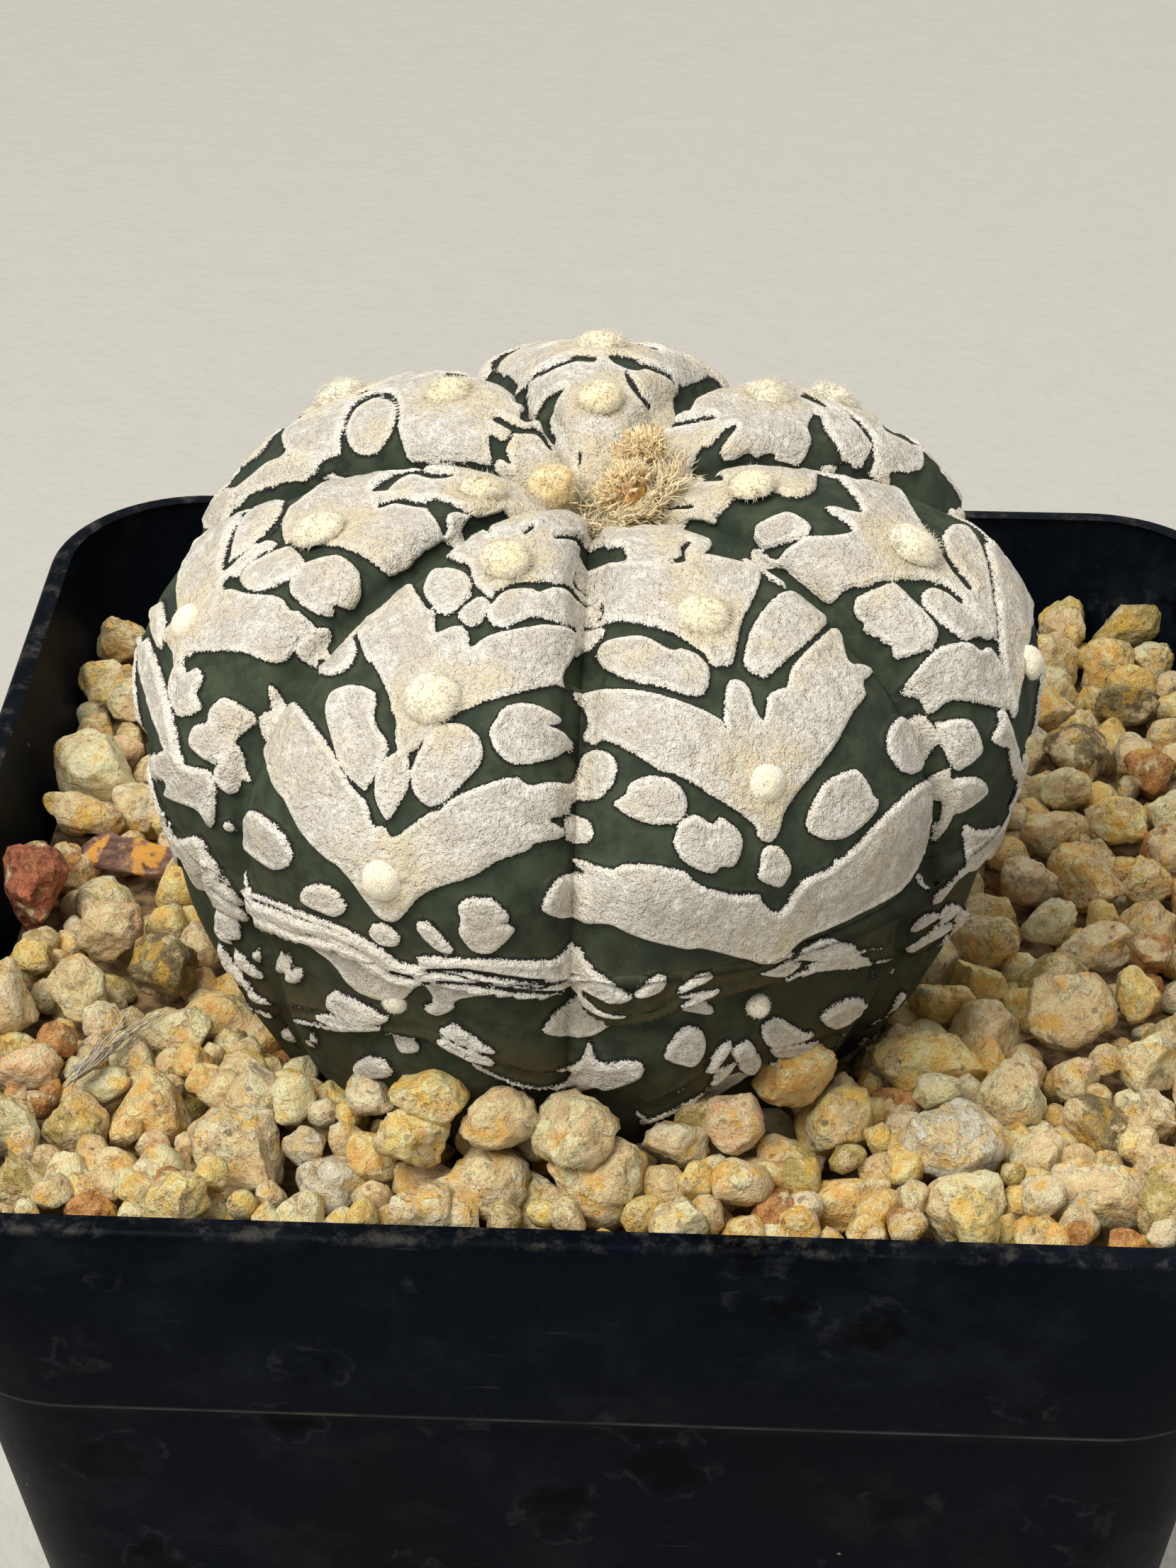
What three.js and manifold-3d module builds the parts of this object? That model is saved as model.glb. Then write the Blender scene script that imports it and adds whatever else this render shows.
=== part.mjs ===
// A star cactus with seven felted ribs, growing in coarse gravel in a square black nursery pot.
// Millimetres, +Z up. The origin is the middle of the pot's foot, and the pot's front faces -Y.

import * as THREE from "three";
import { mergeVertices } from "three/addons/utils/BufferGeometryUtils.js";
import Module from "manifold-3d";

const wasm = await Module();
wasm.setup();

// Sizes that drive the rest
const POT_HEIGHT = 66;
const RIM_WIDTH = 75;
const RIM_CORNER = 9.1;
const BAND_DEPTH = 14.2;
const BAND_TAPER = 0.18;
const LEDGE = 0.8;
const BODY_CORNER = 7.5;
const FOOT_WIDTH = 53;
const FOOT_CORNER = 6;
const FOOT_EDGE = 0.8;
const FOOT_RING_WIDTH = 4;
const FOOT_RECESS = 1.8;
const WALL = 1.3;
const FLOOR_HEIGHT = 3.4;
const LIP_ROUNDING = 0.35;
const DRAIN_RADIUS = 3.5;
const DRAIN_SPACING = 13;
const DRAIN_NOTCH = 7;

// The gap kept between pieces that touch, and the heights of the filling
const CLEARANCE = 0.35;
const SOIL_TOP = POT_HEIGHT - 14;
const BED_HEIGHT = POT_HEIGHT - 5.6;
const BED_SLOPE = -0.05;
const BED_GRAIN = 0.75;

// The plant stands a little forward in the pot and leans slightly to its right
const PLANT = new THREE.Vector3(-1.3, -7, POT_HEIGHT + 4.4);
const LEAN_X = 0.043;
const LEAN_Y = -0.004;
const BREADTH = 0.975;
const RIBS = 7;

// Directions in degrees of the rib crests and of the furrow after each, and how big each rib is
const CREST_TURNS = [-110.2, -64.1, -12.8, 48.3, 92.7, 139.8, 199.2];
const FURROW_TURNS = [-88.5, -34.7, 19.9, 66.7, 117, 168.6, 222.7];
const RIB_SIZES = [1.03, 0.98, 0.99, 0.98, 1.02, 1.01, 0.99];
const RIB_FLATNESS = 4;

// Where the skin's points lie: across each rib from furrow to furrow, and at extra angles from the top
const RIB_STEPS = [-1, -0.88, -0.66, -0.34, 0, 0.34, 0.66, 0.88];
const EXTRA_ANGLES = [4, 34, 46];

// The crest of a rib from the crown to the root: distance from the axis, height from the plant's middle
const CREST = [
  [0, 18], [3.8, 21.6], [8.4, 23.1], [13, 22.5], [17.6, 20.9], [22, 18.3], [24.8, 14.4],
  [25.4, 11.2], [24.6, 8.4], [23.4, 7], [22.3, 6.4], [23.5, 5.1], [24, 3.3], [23.3, 1.7],
  [22, 0.8], [22.6, -0.8], [21.8, -3.8], [20.3, -7], [17.1, -11.5], [11.7, -15.3], [0, -17.5],
];

// How far a furrow cuts in, as a share of the reach from the plant's middle, by angle from the top
const FURROW_DEPTHS = [[0, 0.03], [25, 0.085], [60, 0.08], [90, 0.07], [130, 0.05], [180, 0]];

// Felt-wool areoles down each rib: angle from the top in degrees and radius
const AREOLES = [
  [[26.6, 1.1], [45, 1.2], [63.6, 1.35], [79, 0.9]],
  [[33.4, 1.15], [53.8, 1.25], [71, 1], [81.4, 0.8]],
  [[20.1, 1.05], [40.2, 1.25], [59, 1.2], [78.4, 0.95]],
  [[31.8, 1.1], [44.5, 1.15], [61, 1.2], [80, 0.9]],
  [[16.3, 1], [31.8, 1.15], [52, 1.25], [80, 0.95]],
  [[26.4, 1.1], [45.6, 1.2], [63, 1.25], [81, 0.9]],
  [[15.5, 1.05], [35.4, 1.2], [52.6, 1.25], [78.3, 1]],
];
const AREOLE_HEIGHT = 0.85;
const YOUNG_AREOLE = { x: -2.5, y: 1, radius: 1.1, height: 1.5 };

// A dome's rings: share of its radius, share of its height
const DOME_RINGS = [[1, 0.25], [0.68, 0.8]];

// The sunken crown: a pad of wool with dried flower tufts on it and behind it
const CROWN_PAD = { x: 2, y: 0, radius: 3, height: 1.7 };
const PAD_SIDES = 16;
const PAD_MARGIN = 1.25;
const PAD_SKIRT = 1;
const TUFTS = [
  { name: "dried_flower_back", x: 2.9, y: 2.9, foot: 1.4, petals: 9, length: 2.4, spread: 0.75, seed: 4 },
  { name: "dried_flower_front", x: 2.7, y: -0.6, foot: 1.9, petals: 8, length: 2, spread: 0.95, seed: 9 },
];
const TUFT_HEART = 1.05;
const PETAL = { tip: 0.1, foot: 0.55, sides: 5 };

// Loose stones: place, height of the middle below the rim, size along, across and up, turn, colour
const STONES = [
  ["stone_cinder_red", -33.2, -2.5, -3.2, 3.8, 5.6, 5.4, 10, 0xb8653c],
  ["stone_block_pale", -32.2, 12.1, -5, 5.4, 5.4, 4.8, 12, 0xb9b294],
  ["stone_peach", -28.5, -6.3, -3.6, 4.8, 4.2, 3.6, -14, 0xd6a069],
  ["stone_cream", -28.8, -12.5, -3.6, 3.6, 4.4, 3.8, 20, 0xd9c796],
  ["stone_ochre", -24.6, -10.2, -3.6, 4.2, 4.2, 3.8, -8, 0x8f7433],
  ["stone_smoky_left", -32.9, -13.6, -3.6, 3.8, 5.2, 4.8, 5, 0x9a8a62],
  ["stone_yellow_oval", -23.1, -16.2, -3.6, 5.2, 3.6, 3.2, 0, 0xbda56c],
  ["stone_amber_tall", -23.2, -23.6, -3.2, 4.4, 5.6, 5, -14, 0xc08e50],
  ["stone_gold_left", -18.7, -20.8, -3.2, 3.6, 3.6, 3.2, -10, 0xd79f4c],
  ["stone_banded", -18, -27.9, -2.8, 5.2, 5.8, 5.2, 4, 0xa89678],
  ["stone_speckled_left", -12.6, -29.6, -2.8, 4.4, 4.2, 3.8, -12, 0xd8cda4],
  ["stone_gold_perched", -8.6, -30.4, 1, 4.2, 3.4, 3.4, 16, 0xe0b878],
  ["stone_grey_gold", -5.4, -30.6, -1.9, 5.2, 4.6, 4.6, 14, 0xb09a68],
  ["stone_cream_brown", 0.9, -30.4, -1.2, 5.2, 5, 5.8, -6, 0xcbb184],
  ["stone_long_pink", 8, -29, -2.8, 4.6, 3.2, 2.8, 14, 0xc3a07c],
  ["stone_gold_right", 13, -24.5, -2.2, 4.6, 4.6, 4.4, -20, 0xd4a044],
  ["stone_gold_long", 17.6, -18.3, -2.8, 6.6, 3.6, 3.8, 20, 0xc99c48],
  ["stone_white_round", 18.8, -25.8, -2.2, 5.8, 5.4, 5, -12, 0xd5cdb2],
  ["stone_grey_wedge", 25.2, -12.7, -3, 5.4, 5.4, 5, 10, 0xa28f6c],
  ["stone_moss_dark", 26.8, -22.6, -3.6, 4.6, 3.6, 3.2, -12, 0x6d6850],
  ["stone_grey_flat", 26.4, -29.2, -2.6, 6.4, 4.4, 4, 6, 0xa89c88],
  ["stone_olive_back", 27.6, 17, -5.6, 5, 4.2, 3.6, 25, 0xa8904c],
];

const STONE_ROUGHNESS = 0.11;
const STONE_TILT = 0.25;

// The bark scrap: its outline from above, thickness, middle, and turns about x, y and z
const BARK_OUTLINE = [
  [-2.9, -0.9], [-1.2, -1.3], [1.4, -1], [2.9, -0.3], [2.3, 0.9], [0.4, 1.2], [-2.3, 0.8],
];
const BARK_THICKNESS = 1.1;
const BARK_MIDDLE = [-28.6, 2.6, POT_HEIGHT - 4.9];
const BARK_TURNS = [0.5, 0.12, -0.22];

// The gravel bed's rings: how many points around, and how far out from the middle each lies
const BED_POINTS = 56;
const BED_SHARES = [1, 0.93, 0.86, 0.78, 0.7, 0.61, 0.5];

const COLOURS = {
  pot: 0x17191b,
  soil: 0x3a2f26,
  gravel: 0xb8945c,
  skin: 0x4b5a44,
  wool: 0xe9e2cf,
  goldenWool: 0xd9b878,
  driedFlower: 0xb79a78,
  bark: 0x4d3023,
};

const object = new THREE.Group();
object.name = "potted_super_kabuto_star_cactus";

function wavy(seed, a, b, c) {
  // a repeatable value between -1 and 1 for a point
  const s = Math.sin(a * 12.9898 + b * 78.233 + c * 37.719 + seed * 4.581) * 43758.5453;
  return 2 * (s - Math.floor(s)) - 1;
}

function addPart(name, geometry, colour, roughness) {
  const material = new THREE.MeshStandardMaterial({ color: colour, roughness, metalness: 0 });
  const mesh = new THREE.Mesh(geometry, material);
  mesh.name = name;
  object.add(mesh);
}

function geometryOf(points, triangles) {
  const geometry = new THREE.BufferGeometry();
  const numbers = points.flatMap((p) => [p.x, p.y, p.z]);
  geometry.setAttribute("position", new THREE.Float32BufferAttribute(numbers, 3));
  geometry.setIndex(triangles.flat());
  return geometry;
}

function toSolid(geometry) {
  const bare = new THREE.BufferGeometry();
  bare.setAttribute("position", geometry.getAttribute("position"));
  if (geometry.index) bare.setIndex(geometry.index);
  const merged = mergeVertices(bare, 1e-4);
  const mesh = new wasm.Mesh({
    numProp: 3,
    vertProperties: new Float32Array(merged.attributes.position.array),
    triVerts: new Uint32Array(merged.index.array),
  });
  return new wasm.Manifold(mesh);
}

function fromSolid(solid) {
  const { vertProperties, triVerts } = solid.getMesh();
  const geometry = new THREE.BufferGeometry();
  geometry.setAttribute("position", new THREE.Float32BufferAttribute(vertProperties, 3));
  geometry.setIndex(Array.from(triVerts));
  return geometry;
}

function squareRing(width, corner, z, perCorner = 5) {
  // points around a square with round corners, anticlockwise from the front of its right side
  const centre = width / 2 - corner;
  const ring = [];
  for (let side = 0; side < 4; side++) {
    const turn = (side * Math.PI) / 2;
    const cx = centre * Math.SQRT2 * Math.cos(turn + Math.PI / 4);
    const cy = centre * Math.SQRT2 * Math.sin(turn + Math.PI / 4);
    for (let i = 0; i < perCorner; i++) {
      const angle = turn + (i / (perCorner - 1)) * (Math.PI / 2);
      ring.push(new THREE.Vector3(cx + corner * Math.cos(angle), cy + corner * Math.sin(angle), z));
    }
  }
  return ring;
}

function loft(rings, start, end) {
  // a closed skin from the point start, over the rings in turn, to the point end
  const count = rings[0].length;
  const points = [start, ...rings.flat(), end];
  const last = points.length - 1;
  const at = (ring, i) => 1 + ring * count + (i % count);
  const triangles = [];
  for (let i = 0; i < count; i++) {
    triangles.push([0, at(0, i + 1), at(0, i)]);
    for (let r = 0; r + 1 < rings.length; r++) {
      triangles.push([at(r, i), at(r, i + 1), at(r + 1, i + 1)]);
      triangles.push([at(r, i), at(r + 1, i + 1), at(r + 1, i)]);
    }
    triangles.push([last, at(rings.length - 1, i), at(rings.length - 1, i + 1)]);
  }
  return geometryOf(points, triangles);
}

// The pot

const bandBottomWidth = RIM_WIDTH - 2 * BAND_TAPER * BAND_DEPTH;
const bodyTopWidth = bandBottomWidth - 2 * LEDGE;
const bandBottom = POT_HEIGHT - BAND_DEPTH;
const innerStep = bandBottom + 0.1;
const innerLedge = bandBottom - WALL;

function innerWidth(z) {
  if (z > bandBottom) return RIM_WIDTH - 2 * WALL - 2 * BAND_TAPER * (POT_HEIGHT - z);
  return THREE.MathUtils.mapLinear(z, 0, bandBottom, FOOT_WIDTH, bodyTopWidth) - 2 * WALL;
}

function innerCorner(z) {
  return THREE.MathUtils.mapLinear(z, 0, POT_HEIGHT, FOOT_CORNER, RIM_CORNER) - WALL;
}

function innerRing(z, gap) {
  return squareRing(innerWidth(z) - 2 * gap, innerCorner(z) - gap, z);
}

function potGeometry() {
  const ringOutside = FOOT_WIDTH - 1;
  const ringInside = ringOutside - 2 * FOOT_RING_WIDTH;
  const rings = [
    squareRing(ringInside - 1, FOOT_CORNER / 2, FOOT_RECESS),
    squareRing(ringInside, FOOT_CORNER / 2 + 0.5, 0),
    squareRing(ringOutside, FOOT_CORNER - 0.5, 0),
    squareRing(FOOT_WIDTH, FOOT_CORNER, FOOT_EDGE),
    squareRing(bodyTopWidth, BODY_CORNER, bandBottom - LEDGE / 2),
    squareRing(bandBottomWidth, BODY_CORNER + 0.5, bandBottom),
    squareRing(RIM_WIDTH, RIM_CORNER, POT_HEIGHT - LIP_ROUNDING),
    squareRing(RIM_WIDTH - 2 * LIP_ROUNDING, RIM_CORNER - LIP_ROUNDING, POT_HEIGHT),
    squareRing(innerWidth(POT_HEIGHT) + LIP_ROUNDING, RIM_CORNER - WALL, POT_HEIGHT),
    innerRing(POT_HEIGHT - LIP_ROUNDING, 0),
    innerRing(innerStep, 0),
    innerRing(innerLedge, 0),
    innerRing(FLOOR_HEIGHT, 0),
  ];
  const start = new THREE.Vector3(0, 0, FOOT_RECESS);
  const end = new THREE.Vector3(0, 0, FLOOR_HEIGHT);
  let pot = toSolid(loft(rings, start, end));
  for (const [x, y] of [[0, 0], [1, 1], [1, -1], [-1, 1], [-1, -1]]) {
    const hole = new THREE.CylinderGeometry(DRAIN_RADIUS, DRAIN_RADIUS, 3 * FLOOR_HEIGHT, 12);
    hole.rotateX(Math.PI / 2);
    hole.translate(x * DRAIN_SPACING, y * DRAIN_SPACING, FLOOR_HEIGHT / 2);
    pot = pot.subtract(toSolid(hole));
  }
  const throughout = 2 * FOOT_WIDTH;
  for (const [x, y] of [[throughout, DRAIN_NOTCH], [DRAIN_NOTCH, throughout]]) {
    pot = pot.subtract(toSolid(new THREE.BoxGeometry(x, y, 2 * FOOT_RECESS)));
  }
  return fromSolid(pot);
}

// The plant

const crestCurve = new THREE.SplineCurve(CREST.map(([r, z]) => new THREE.Vector2(r, z)));

function bisect(high, tooLow) {
  // the value between 0 and high at which tooLow stops being true
  let low = 0;
  for (let i = 0; i < 30; i++) {
    const middle = (low + high) / 2;
    if (tooLow(middle)) low = middle;
    else high = middle;
  }
  return low;
}

function angleOf(point) {
  return THREE.MathUtils.radToDeg(Math.atan2(point.x, point.y));
}

function reachAt(angle) {
  // how far the crest is from the plant's middle at this angle from the top
  const share = bisect(1, (middle) => angleOf(crestCurve.getPoint(middle)) < angle);
  return crestCurve.getPoint(share).length();
}

function furrowAt(angle) {
  const next = Math.max(1, FURROW_DEPTHS.findIndex(([a]) => a >= angle));
  const [a0, d0] = FURROW_DEPTHS[next - 1];
  const [a1, d1] = FURROW_DEPTHS[next];
  return THREE.MathUtils.mapLinear(angle, a0, a1, d0, d1);
}

function turnAt(around) {
  // the direction of a place: a whole number is a rib's crest, a half is the furrow after it
  const rib = Math.round(around);
  const across = 2 * (around - rib);
  const here = ((rib % RIBS) + RIBS) % RIBS;
  const wholeTurns = ((rib - here) / RIBS) * 360;
  const before = here > 0 ? FURROW_TURNS[here - 1] : FURROW_TURNS[RIBS - 1] - 360;
  const edge = across >= 0 ? FURROW_TURNS[here] : before;
  return wholeTurns + CREST_TURNS[here] + Math.abs(across) * (edge - CREST_TURNS[here]);
}

function aroundAt(turn) {
  // the place whose direction is this turn in degrees
  return bisect(3 * RIBS, (middle) => turnAt(middle - RIBS) < turn) - RIBS;
}

function stemPoint(around, angle, lift = 0) {
  const rib = Math.round(around);
  const across = 2 * (around - rib);
  const here = ((rib % RIBS) + RIBS) % RIBS;
  const beside = (here + (across >= 0 ? 1 : RIBS - 1)) % RIBS;
  const size = THREE.MathUtils.lerp(RIB_SIZES[here], RIB_SIZES[beside], Math.abs(across) / 2);
  const cut = 1 - furrowAt(angle) * Math.abs(across) ** RIB_FLATNESS;
  const reach = reachAt(angle) * size * cut + lift;
  const down = THREE.MathUtils.degToRad(angle);
  const turn = THREE.MathUtils.degToRad(turnAt(around));
  const x = BREADTH * reach * Math.sin(down) * Math.cos(turn);
  const y = reach * Math.sin(down) * Math.sin(turn);
  const z = reach * Math.cos(down);
  return new THREE.Vector3(PLANT.x + x + LEAN_X * z, PLANT.y + y + LEAN_Y * z, PLANT.z + z);
}

function stemGeometry(lift = 0) {
  const angles = CREST.slice(1, -1).map(([r, z]) => angleOf(new THREE.Vector2(r, z)));
  angles.push(...EXTRA_ANGLES);
  angles.sort((a, b) => b - a);
  const rings = angles.map((angle) => {
    const ring = [];
    for (let rib = 0; rib < RIBS; rib++) {
      for (const across of RIB_STEPS) {
        ring.push(stemPoint(rib + across / 2, angle, lift));
      }
    }
    return ring;
  });
  return loft(rings, stemPoint(0, 180, lift), stemPoint(0, 0, lift));
}

function domeGeometry(surface, radius, height, sides = 10, base = CLEARANCE) {
  // a low dome: surface(right, up, lift) gives a point over the place it sits on
  const ring = (share, lift) =>
    Array.from({ length: sides }, (_, i) => {
      const angle = (2 * Math.PI * i) / sides;
      return surface(share * radius * Math.cos(angle), share * radius * Math.sin(angle), lift);
    });
  const rings = DOME_RINGS.map(([share, rise]) => ring(share, base + rise * height));
  return loft(rings, surface(0, 0, base), surface(0, 0, base + height));
}

function areoleSurface(rib, angle) {
  const reach = reachAt(angle);
  const ribWidth = (reach * Math.sin(THREE.MathUtils.degToRad(angle)) * 2 * Math.PI) / RIBS;
  const slope = THREE.MathUtils.radToDeg(1 / reach);
  return (right, up, lift) => stemPoint(rib + right / ribWidth, angle - up * slope, lift);
}

function crownSurface(x0, y0) {
  return (right, up, lift) => {
    const x = x0 + right;
    const y = y0 + up;
    const distance = Math.max(0.01, Math.hypot(x, y));
    const around = aroundAt(THREE.MathUtils.radToDeg(Math.atan2(y, x)));
    const sine = (angle) => Math.sin(THREE.MathUtils.degToRad(angle));
    const angle = bisect(60, (middle) => reachAt(middle) * sine(middle) < distance);
    return stemPoint(around, angle, lift);
  };
}

function tuftGeometry(tuft, pad) {
  // dried petals leaning outwards from one dry heart, cut to sit on the pad of wool
  const foot = crownSurface(tuft.x, tuft.y)(0, 0, CLEARANCE + tuft.foot);
  const heart = new THREE.IcosahedronGeometry(TUFT_HEART, 1);
  heart.translate(foot.x, foot.y, foot.z);
  let body = toSolid(heart);
  for (let i = 0; i < tuft.petals; i++) {
    const angle = (2 * Math.PI * i) / tuft.petals + 0.5 * wavy(tuft.seed, i, 1, 2);
    const lean = tuft.spread * (0.75 + 0.35 * wavy(tuft.seed, i, 5, 3));
    const length = tuft.length * (0.85 + 0.2 * wavy(tuft.seed, i, 8, 6));
    const petal = new THREE.CylinderGeometry(PETAL.tip, PETAL.foot, length, PETAL.sides);
    petal.translate(0, length / 2, 0);
    petal.rotateX(Math.PI / 2);
    petal.rotateY(lean);
    petal.rotateZ(angle);
    petal.translate(foot.x, foot.y, foot.z);
    body = body.add(toSolid(petal));
  }
  return body.subtract(pad);
}

// The gravel

function stoneGeometry(index, grow = 0) {
  const [, x, y, depth, along, across, up, turn] = STONES[index];
  const stone = new THREE.IcosahedronGeometry(1, 1);
  const position = stone.getAttribute("position");
  const half = new THREE.Vector3(along / 2 + grow, across / 2 + grow, up / 2 + grow);
  const point = new THREE.Vector3();
  for (let i = 0; i < position.count; i++) {
    point.fromBufferAttribute(position, i);
    const corner = point.clone().multiplyScalar(50).round();
    const bulge = 1 + STONE_ROUGHNESS * wavy(index, corner.x, corner.y, corner.z);
    point.multiplyScalar(bulge).multiply(half);
    position.setXYZ(i, point.x, point.y, point.z);
  }
  stone.rotateY(STONE_TILT * wavy(index, 2, 7, 1));
  stone.rotateZ(THREE.MathUtils.degToRad(turn));
  stone.translate(x, y, POT_HEIGHT + depth);
  return stone;
}

function barkGeometry(grow = 0) {
  const outline = BARK_OUTLINE.map(([x, y]) => new THREE.Vector2(x, y).multiplyScalar(1 + grow / 2));
  const depth = BARK_THICKNESS + 2 * grow;
  const bark = new THREE.ExtrudeGeometry(new THREE.Shape(outline), { depth, bevelEnabled: false });
  bark.translate(0, 0, -depth / 2);
  bark.rotateX(BARK_TURNS[0]);
  bark.rotateY(BARK_TURNS[1]);
  bark.rotateZ(BARK_TURNS[2]);
  bark.translate(...BARK_MIDDLE);
  return bark;
}

function bedTop(x, y) {
  const grains = BED_GRAIN * wavy(3, Math.round(9 * x), Math.round(9 * y), 1);
  return BED_HEIGHT + BED_SLOPE * y + grains;
}

function bedGeometry() {
  // the sides follow the pot's inner wall, and the top is a field of grains cut by the plant and the stones
  const bottom = SOIL_TOP + CLEARANCE;
  const spread = (ring) => {
    const loop = new THREE.CurvePath();
    ring.forEach((point, i) => loop.add(new THREE.LineCurve3(point, ring[(i + 1) % ring.length])));
    return loop.getSpacedPoints(BED_POINTS).slice(0, BED_POINTS);
  };
  const edge = spread(innerRing(BED_HEIGHT, 2 * CLEARANCE));
  const rings = [spread(innerRing(bottom, CLEARANCE))];
  for (const share of BED_SHARES) {
    rings.push(edge.map((p) => {
      const x = p.x * share;
      const y = p.y * share;
      return new THREE.Vector3(x, y, bedTop(x, y));
    }));
  }
  let bed = toSolid(loft(rings, new THREE.Vector3(0, 0, bottom), new THREE.Vector3(0, 0, BED_HEIGHT)));
  bed = bed.subtract(toSolid(stemGeometry(CLEARANCE)));
  bed = bed.subtract(toSolid(barkGeometry(CLEARANCE)));
  STONES.forEach((_, index) => {
    bed = bed.subtract(toSolid(stoneGeometry(index, CLEARANCE)));
  });
  return fromSolid(bed);
}

function soilGeometry() {
  const floor = FLOOR_HEIGHT + CLEARANCE;
  const rings = [innerRing(floor, CLEARANCE), innerRing(innerLedge, CLEARANCE)];
  const upper = rings[1].map((p) => new THREE.Vector3(p.x, p.y, SOIL_TOP));
  return loft([...rings, upper], new THREE.Vector3(0, 0, floor), new THREE.Vector3(0, 0, SOIL_TOP));
}

// Everything together

addPart("pot_square", potGeometry(), COLOURS.pot, 0.55);
addPart("potting_soil", soilGeometry(), COLOURS.soil, 0.95);
addPart("gravel_bed", bedGeometry(), COLOURS.gravel, 0.75);
addPart("cactus_stem", stemGeometry(), COLOURS.skin, 0.85);

AREOLES.forEach((row, rib) => {
  row.forEach(([angle, radius], index) => {
    const dome = domeGeometry(areoleSurface(rib, angle), radius, AREOLE_HEIGHT);
    addPart(`areole_rib${rib + 1}_${index + 1}`, dome, COLOURS.wool, 0.95);
  });
});

const raisedStem = toSolid(stemGeometry(CLEARANCE));
const onStem = (geometry) => fromSolid(toSolid(geometry).subtract(raisedStem));

const youngSurface = crownSurface(YOUNG_AREOLE.x, YOUNG_AREOLE.y);
const youngAreole = domeGeometry(youngSurface, YOUNG_AREOLE.radius, YOUNG_AREOLE.height, 10, 0);
addPart("areole_young", onStem(youngAreole), COLOURS.goldenWool, 0.95);

const padSurface = crownSurface(CROWN_PAD.x, CROWN_PAD.y);
const pad = domeGeometry(padSurface, CROWN_PAD.radius, CROWN_PAD.height, PAD_SIDES, 0);
addPart("crown_wool", onStem(pad), COLOURS.wool, 0.95);
const raisedSurface = (right, up, lift) => padSurface(PAD_MARGIN * right, PAD_MARGIN * up, lift + CLEARANCE);
const raisedHeight = CROWN_PAD.height + 1.3 * PAD_SKIRT;
const raisedPad = domeGeometry(raisedSurface, CROWN_PAD.radius, raisedHeight, PAD_SIDES, -PAD_SKIRT);
const padCut = toSolid(raisedPad).add(raisedStem);
for (const tuft of TUFTS) {
  addPart(tuft.name, fromSolid(tuftGeometry(tuft, padCut)), COLOURS.driedFlower, 0.9);
}

STONES.forEach(([name, ...rest], index) => {
  addPart(name, stoneGeometry(index), rest[rest.length - 1], 0.6);
});
addPart("bark_scrap", barkGeometry(), COLOURS.bark, 0.9);

export default object;
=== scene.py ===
# A potted star cactus in soft light: felted ribs, coarse gravel and a square black nursery pot.
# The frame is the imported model. Shapes are worked out in millimetres and put down in metres.

import itertools
import math

import bmesh
import bpy
import numpy as np
from mathutils import Matrix, Vector


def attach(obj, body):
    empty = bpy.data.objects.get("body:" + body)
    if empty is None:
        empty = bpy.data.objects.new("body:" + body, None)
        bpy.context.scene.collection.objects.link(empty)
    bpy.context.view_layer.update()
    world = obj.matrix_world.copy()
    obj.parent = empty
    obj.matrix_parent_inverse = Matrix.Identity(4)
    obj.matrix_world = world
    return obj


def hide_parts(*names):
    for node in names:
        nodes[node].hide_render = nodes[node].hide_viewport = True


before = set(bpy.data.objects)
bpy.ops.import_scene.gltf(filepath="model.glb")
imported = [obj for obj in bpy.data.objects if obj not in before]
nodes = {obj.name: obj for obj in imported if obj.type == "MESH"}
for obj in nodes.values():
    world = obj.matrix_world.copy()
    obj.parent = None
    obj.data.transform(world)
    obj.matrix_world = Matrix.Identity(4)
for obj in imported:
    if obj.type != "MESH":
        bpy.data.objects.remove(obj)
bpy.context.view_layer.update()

# The camera, in the photograph's own pixels and the frame's millimetres
PHOTO_WIDTH = 1659
PHOTO_HEIGHT = 2212
SENSOR = 36
LENS = 91.14
CAMERA_PLACE = np.array([11.19, -187.78, 192.07])
CAMERA_FORWARD = np.array([-0.0565, 0.8342, -0.5485])
CAMERA_RIGHT = np.array([0.9981, 0.0604, -0.0109])
CAMERA_UP = np.array([-0.0241, 0.5481, 0.8361])
FOCAL_PIXELS = LENS / SENSOR * PHOTO_HEIGHT

# The pot
POT_HEIGHT = 66
RIM_WIDTH = 75
RIM_CORNER = 9.1
BAND_DEPTH = 14.2
BAND_TAPER = 0.18
LEDGE = 0.8
BODY_CORNER = 7.5
FOOT_WIDTH = 53
FOOT_CORNER = 6
FOOT_RING_WIDTH = 4
FOOT_RECESS = 1.8
WALL = 1.3
FLOOR_HEIGHT = 3.4
DRAIN_RADIUS = 3.5
DRAIN_SPACING = 13
DRAIN_NOTCH = 7
CORNER_POINTS = 18

# The gravel's top
BED_HEIGHT = POT_HEIGHT - 5.6
BED_SLOPE = -0.05
SOIL_TOP = POT_HEIGHT - 14

# The plant
PLANT = np.array([-1.3, -7, POT_HEIGHT + 4.4])
LEAN_X = 0.043
LEAN_Y = -0.004
BREADTH = 0.975
RIBS = 7
CREST_TURNS = np.array([-110.2, -64.1, -12.8, 48.3, 92.7, 139.8, 199.2])
FURROW_TURNS = np.array([-88.5, -34.7, 19.9, 66.7, 117, 168.6, 222.7])
RIB_SIZES = np.array([1.03, 0.98, 0.99, 0.98, 1.02, 1.01, 0.99])
RIB_FLATNESS = 4
CREST = np.array([
    [0, 18], [3.8, 21.6], [8.4, 23.1], [13, 22.5], [17.6, 20.9], [22, 18.3], [24.8, 14.4],
    [25.4, 11.2], [24.6, 8.4], [23.4, 7], [22.3, 6.4], [23.5, 5.1], [24, 3.3], [23.3, 1.7],
    [22, 0.8], [22.6, -0.8], [21.8, -3.8], [20.3, -7], [17.1, -11.5], [11.7, -15.3], [0, -17.5],
])
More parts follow.
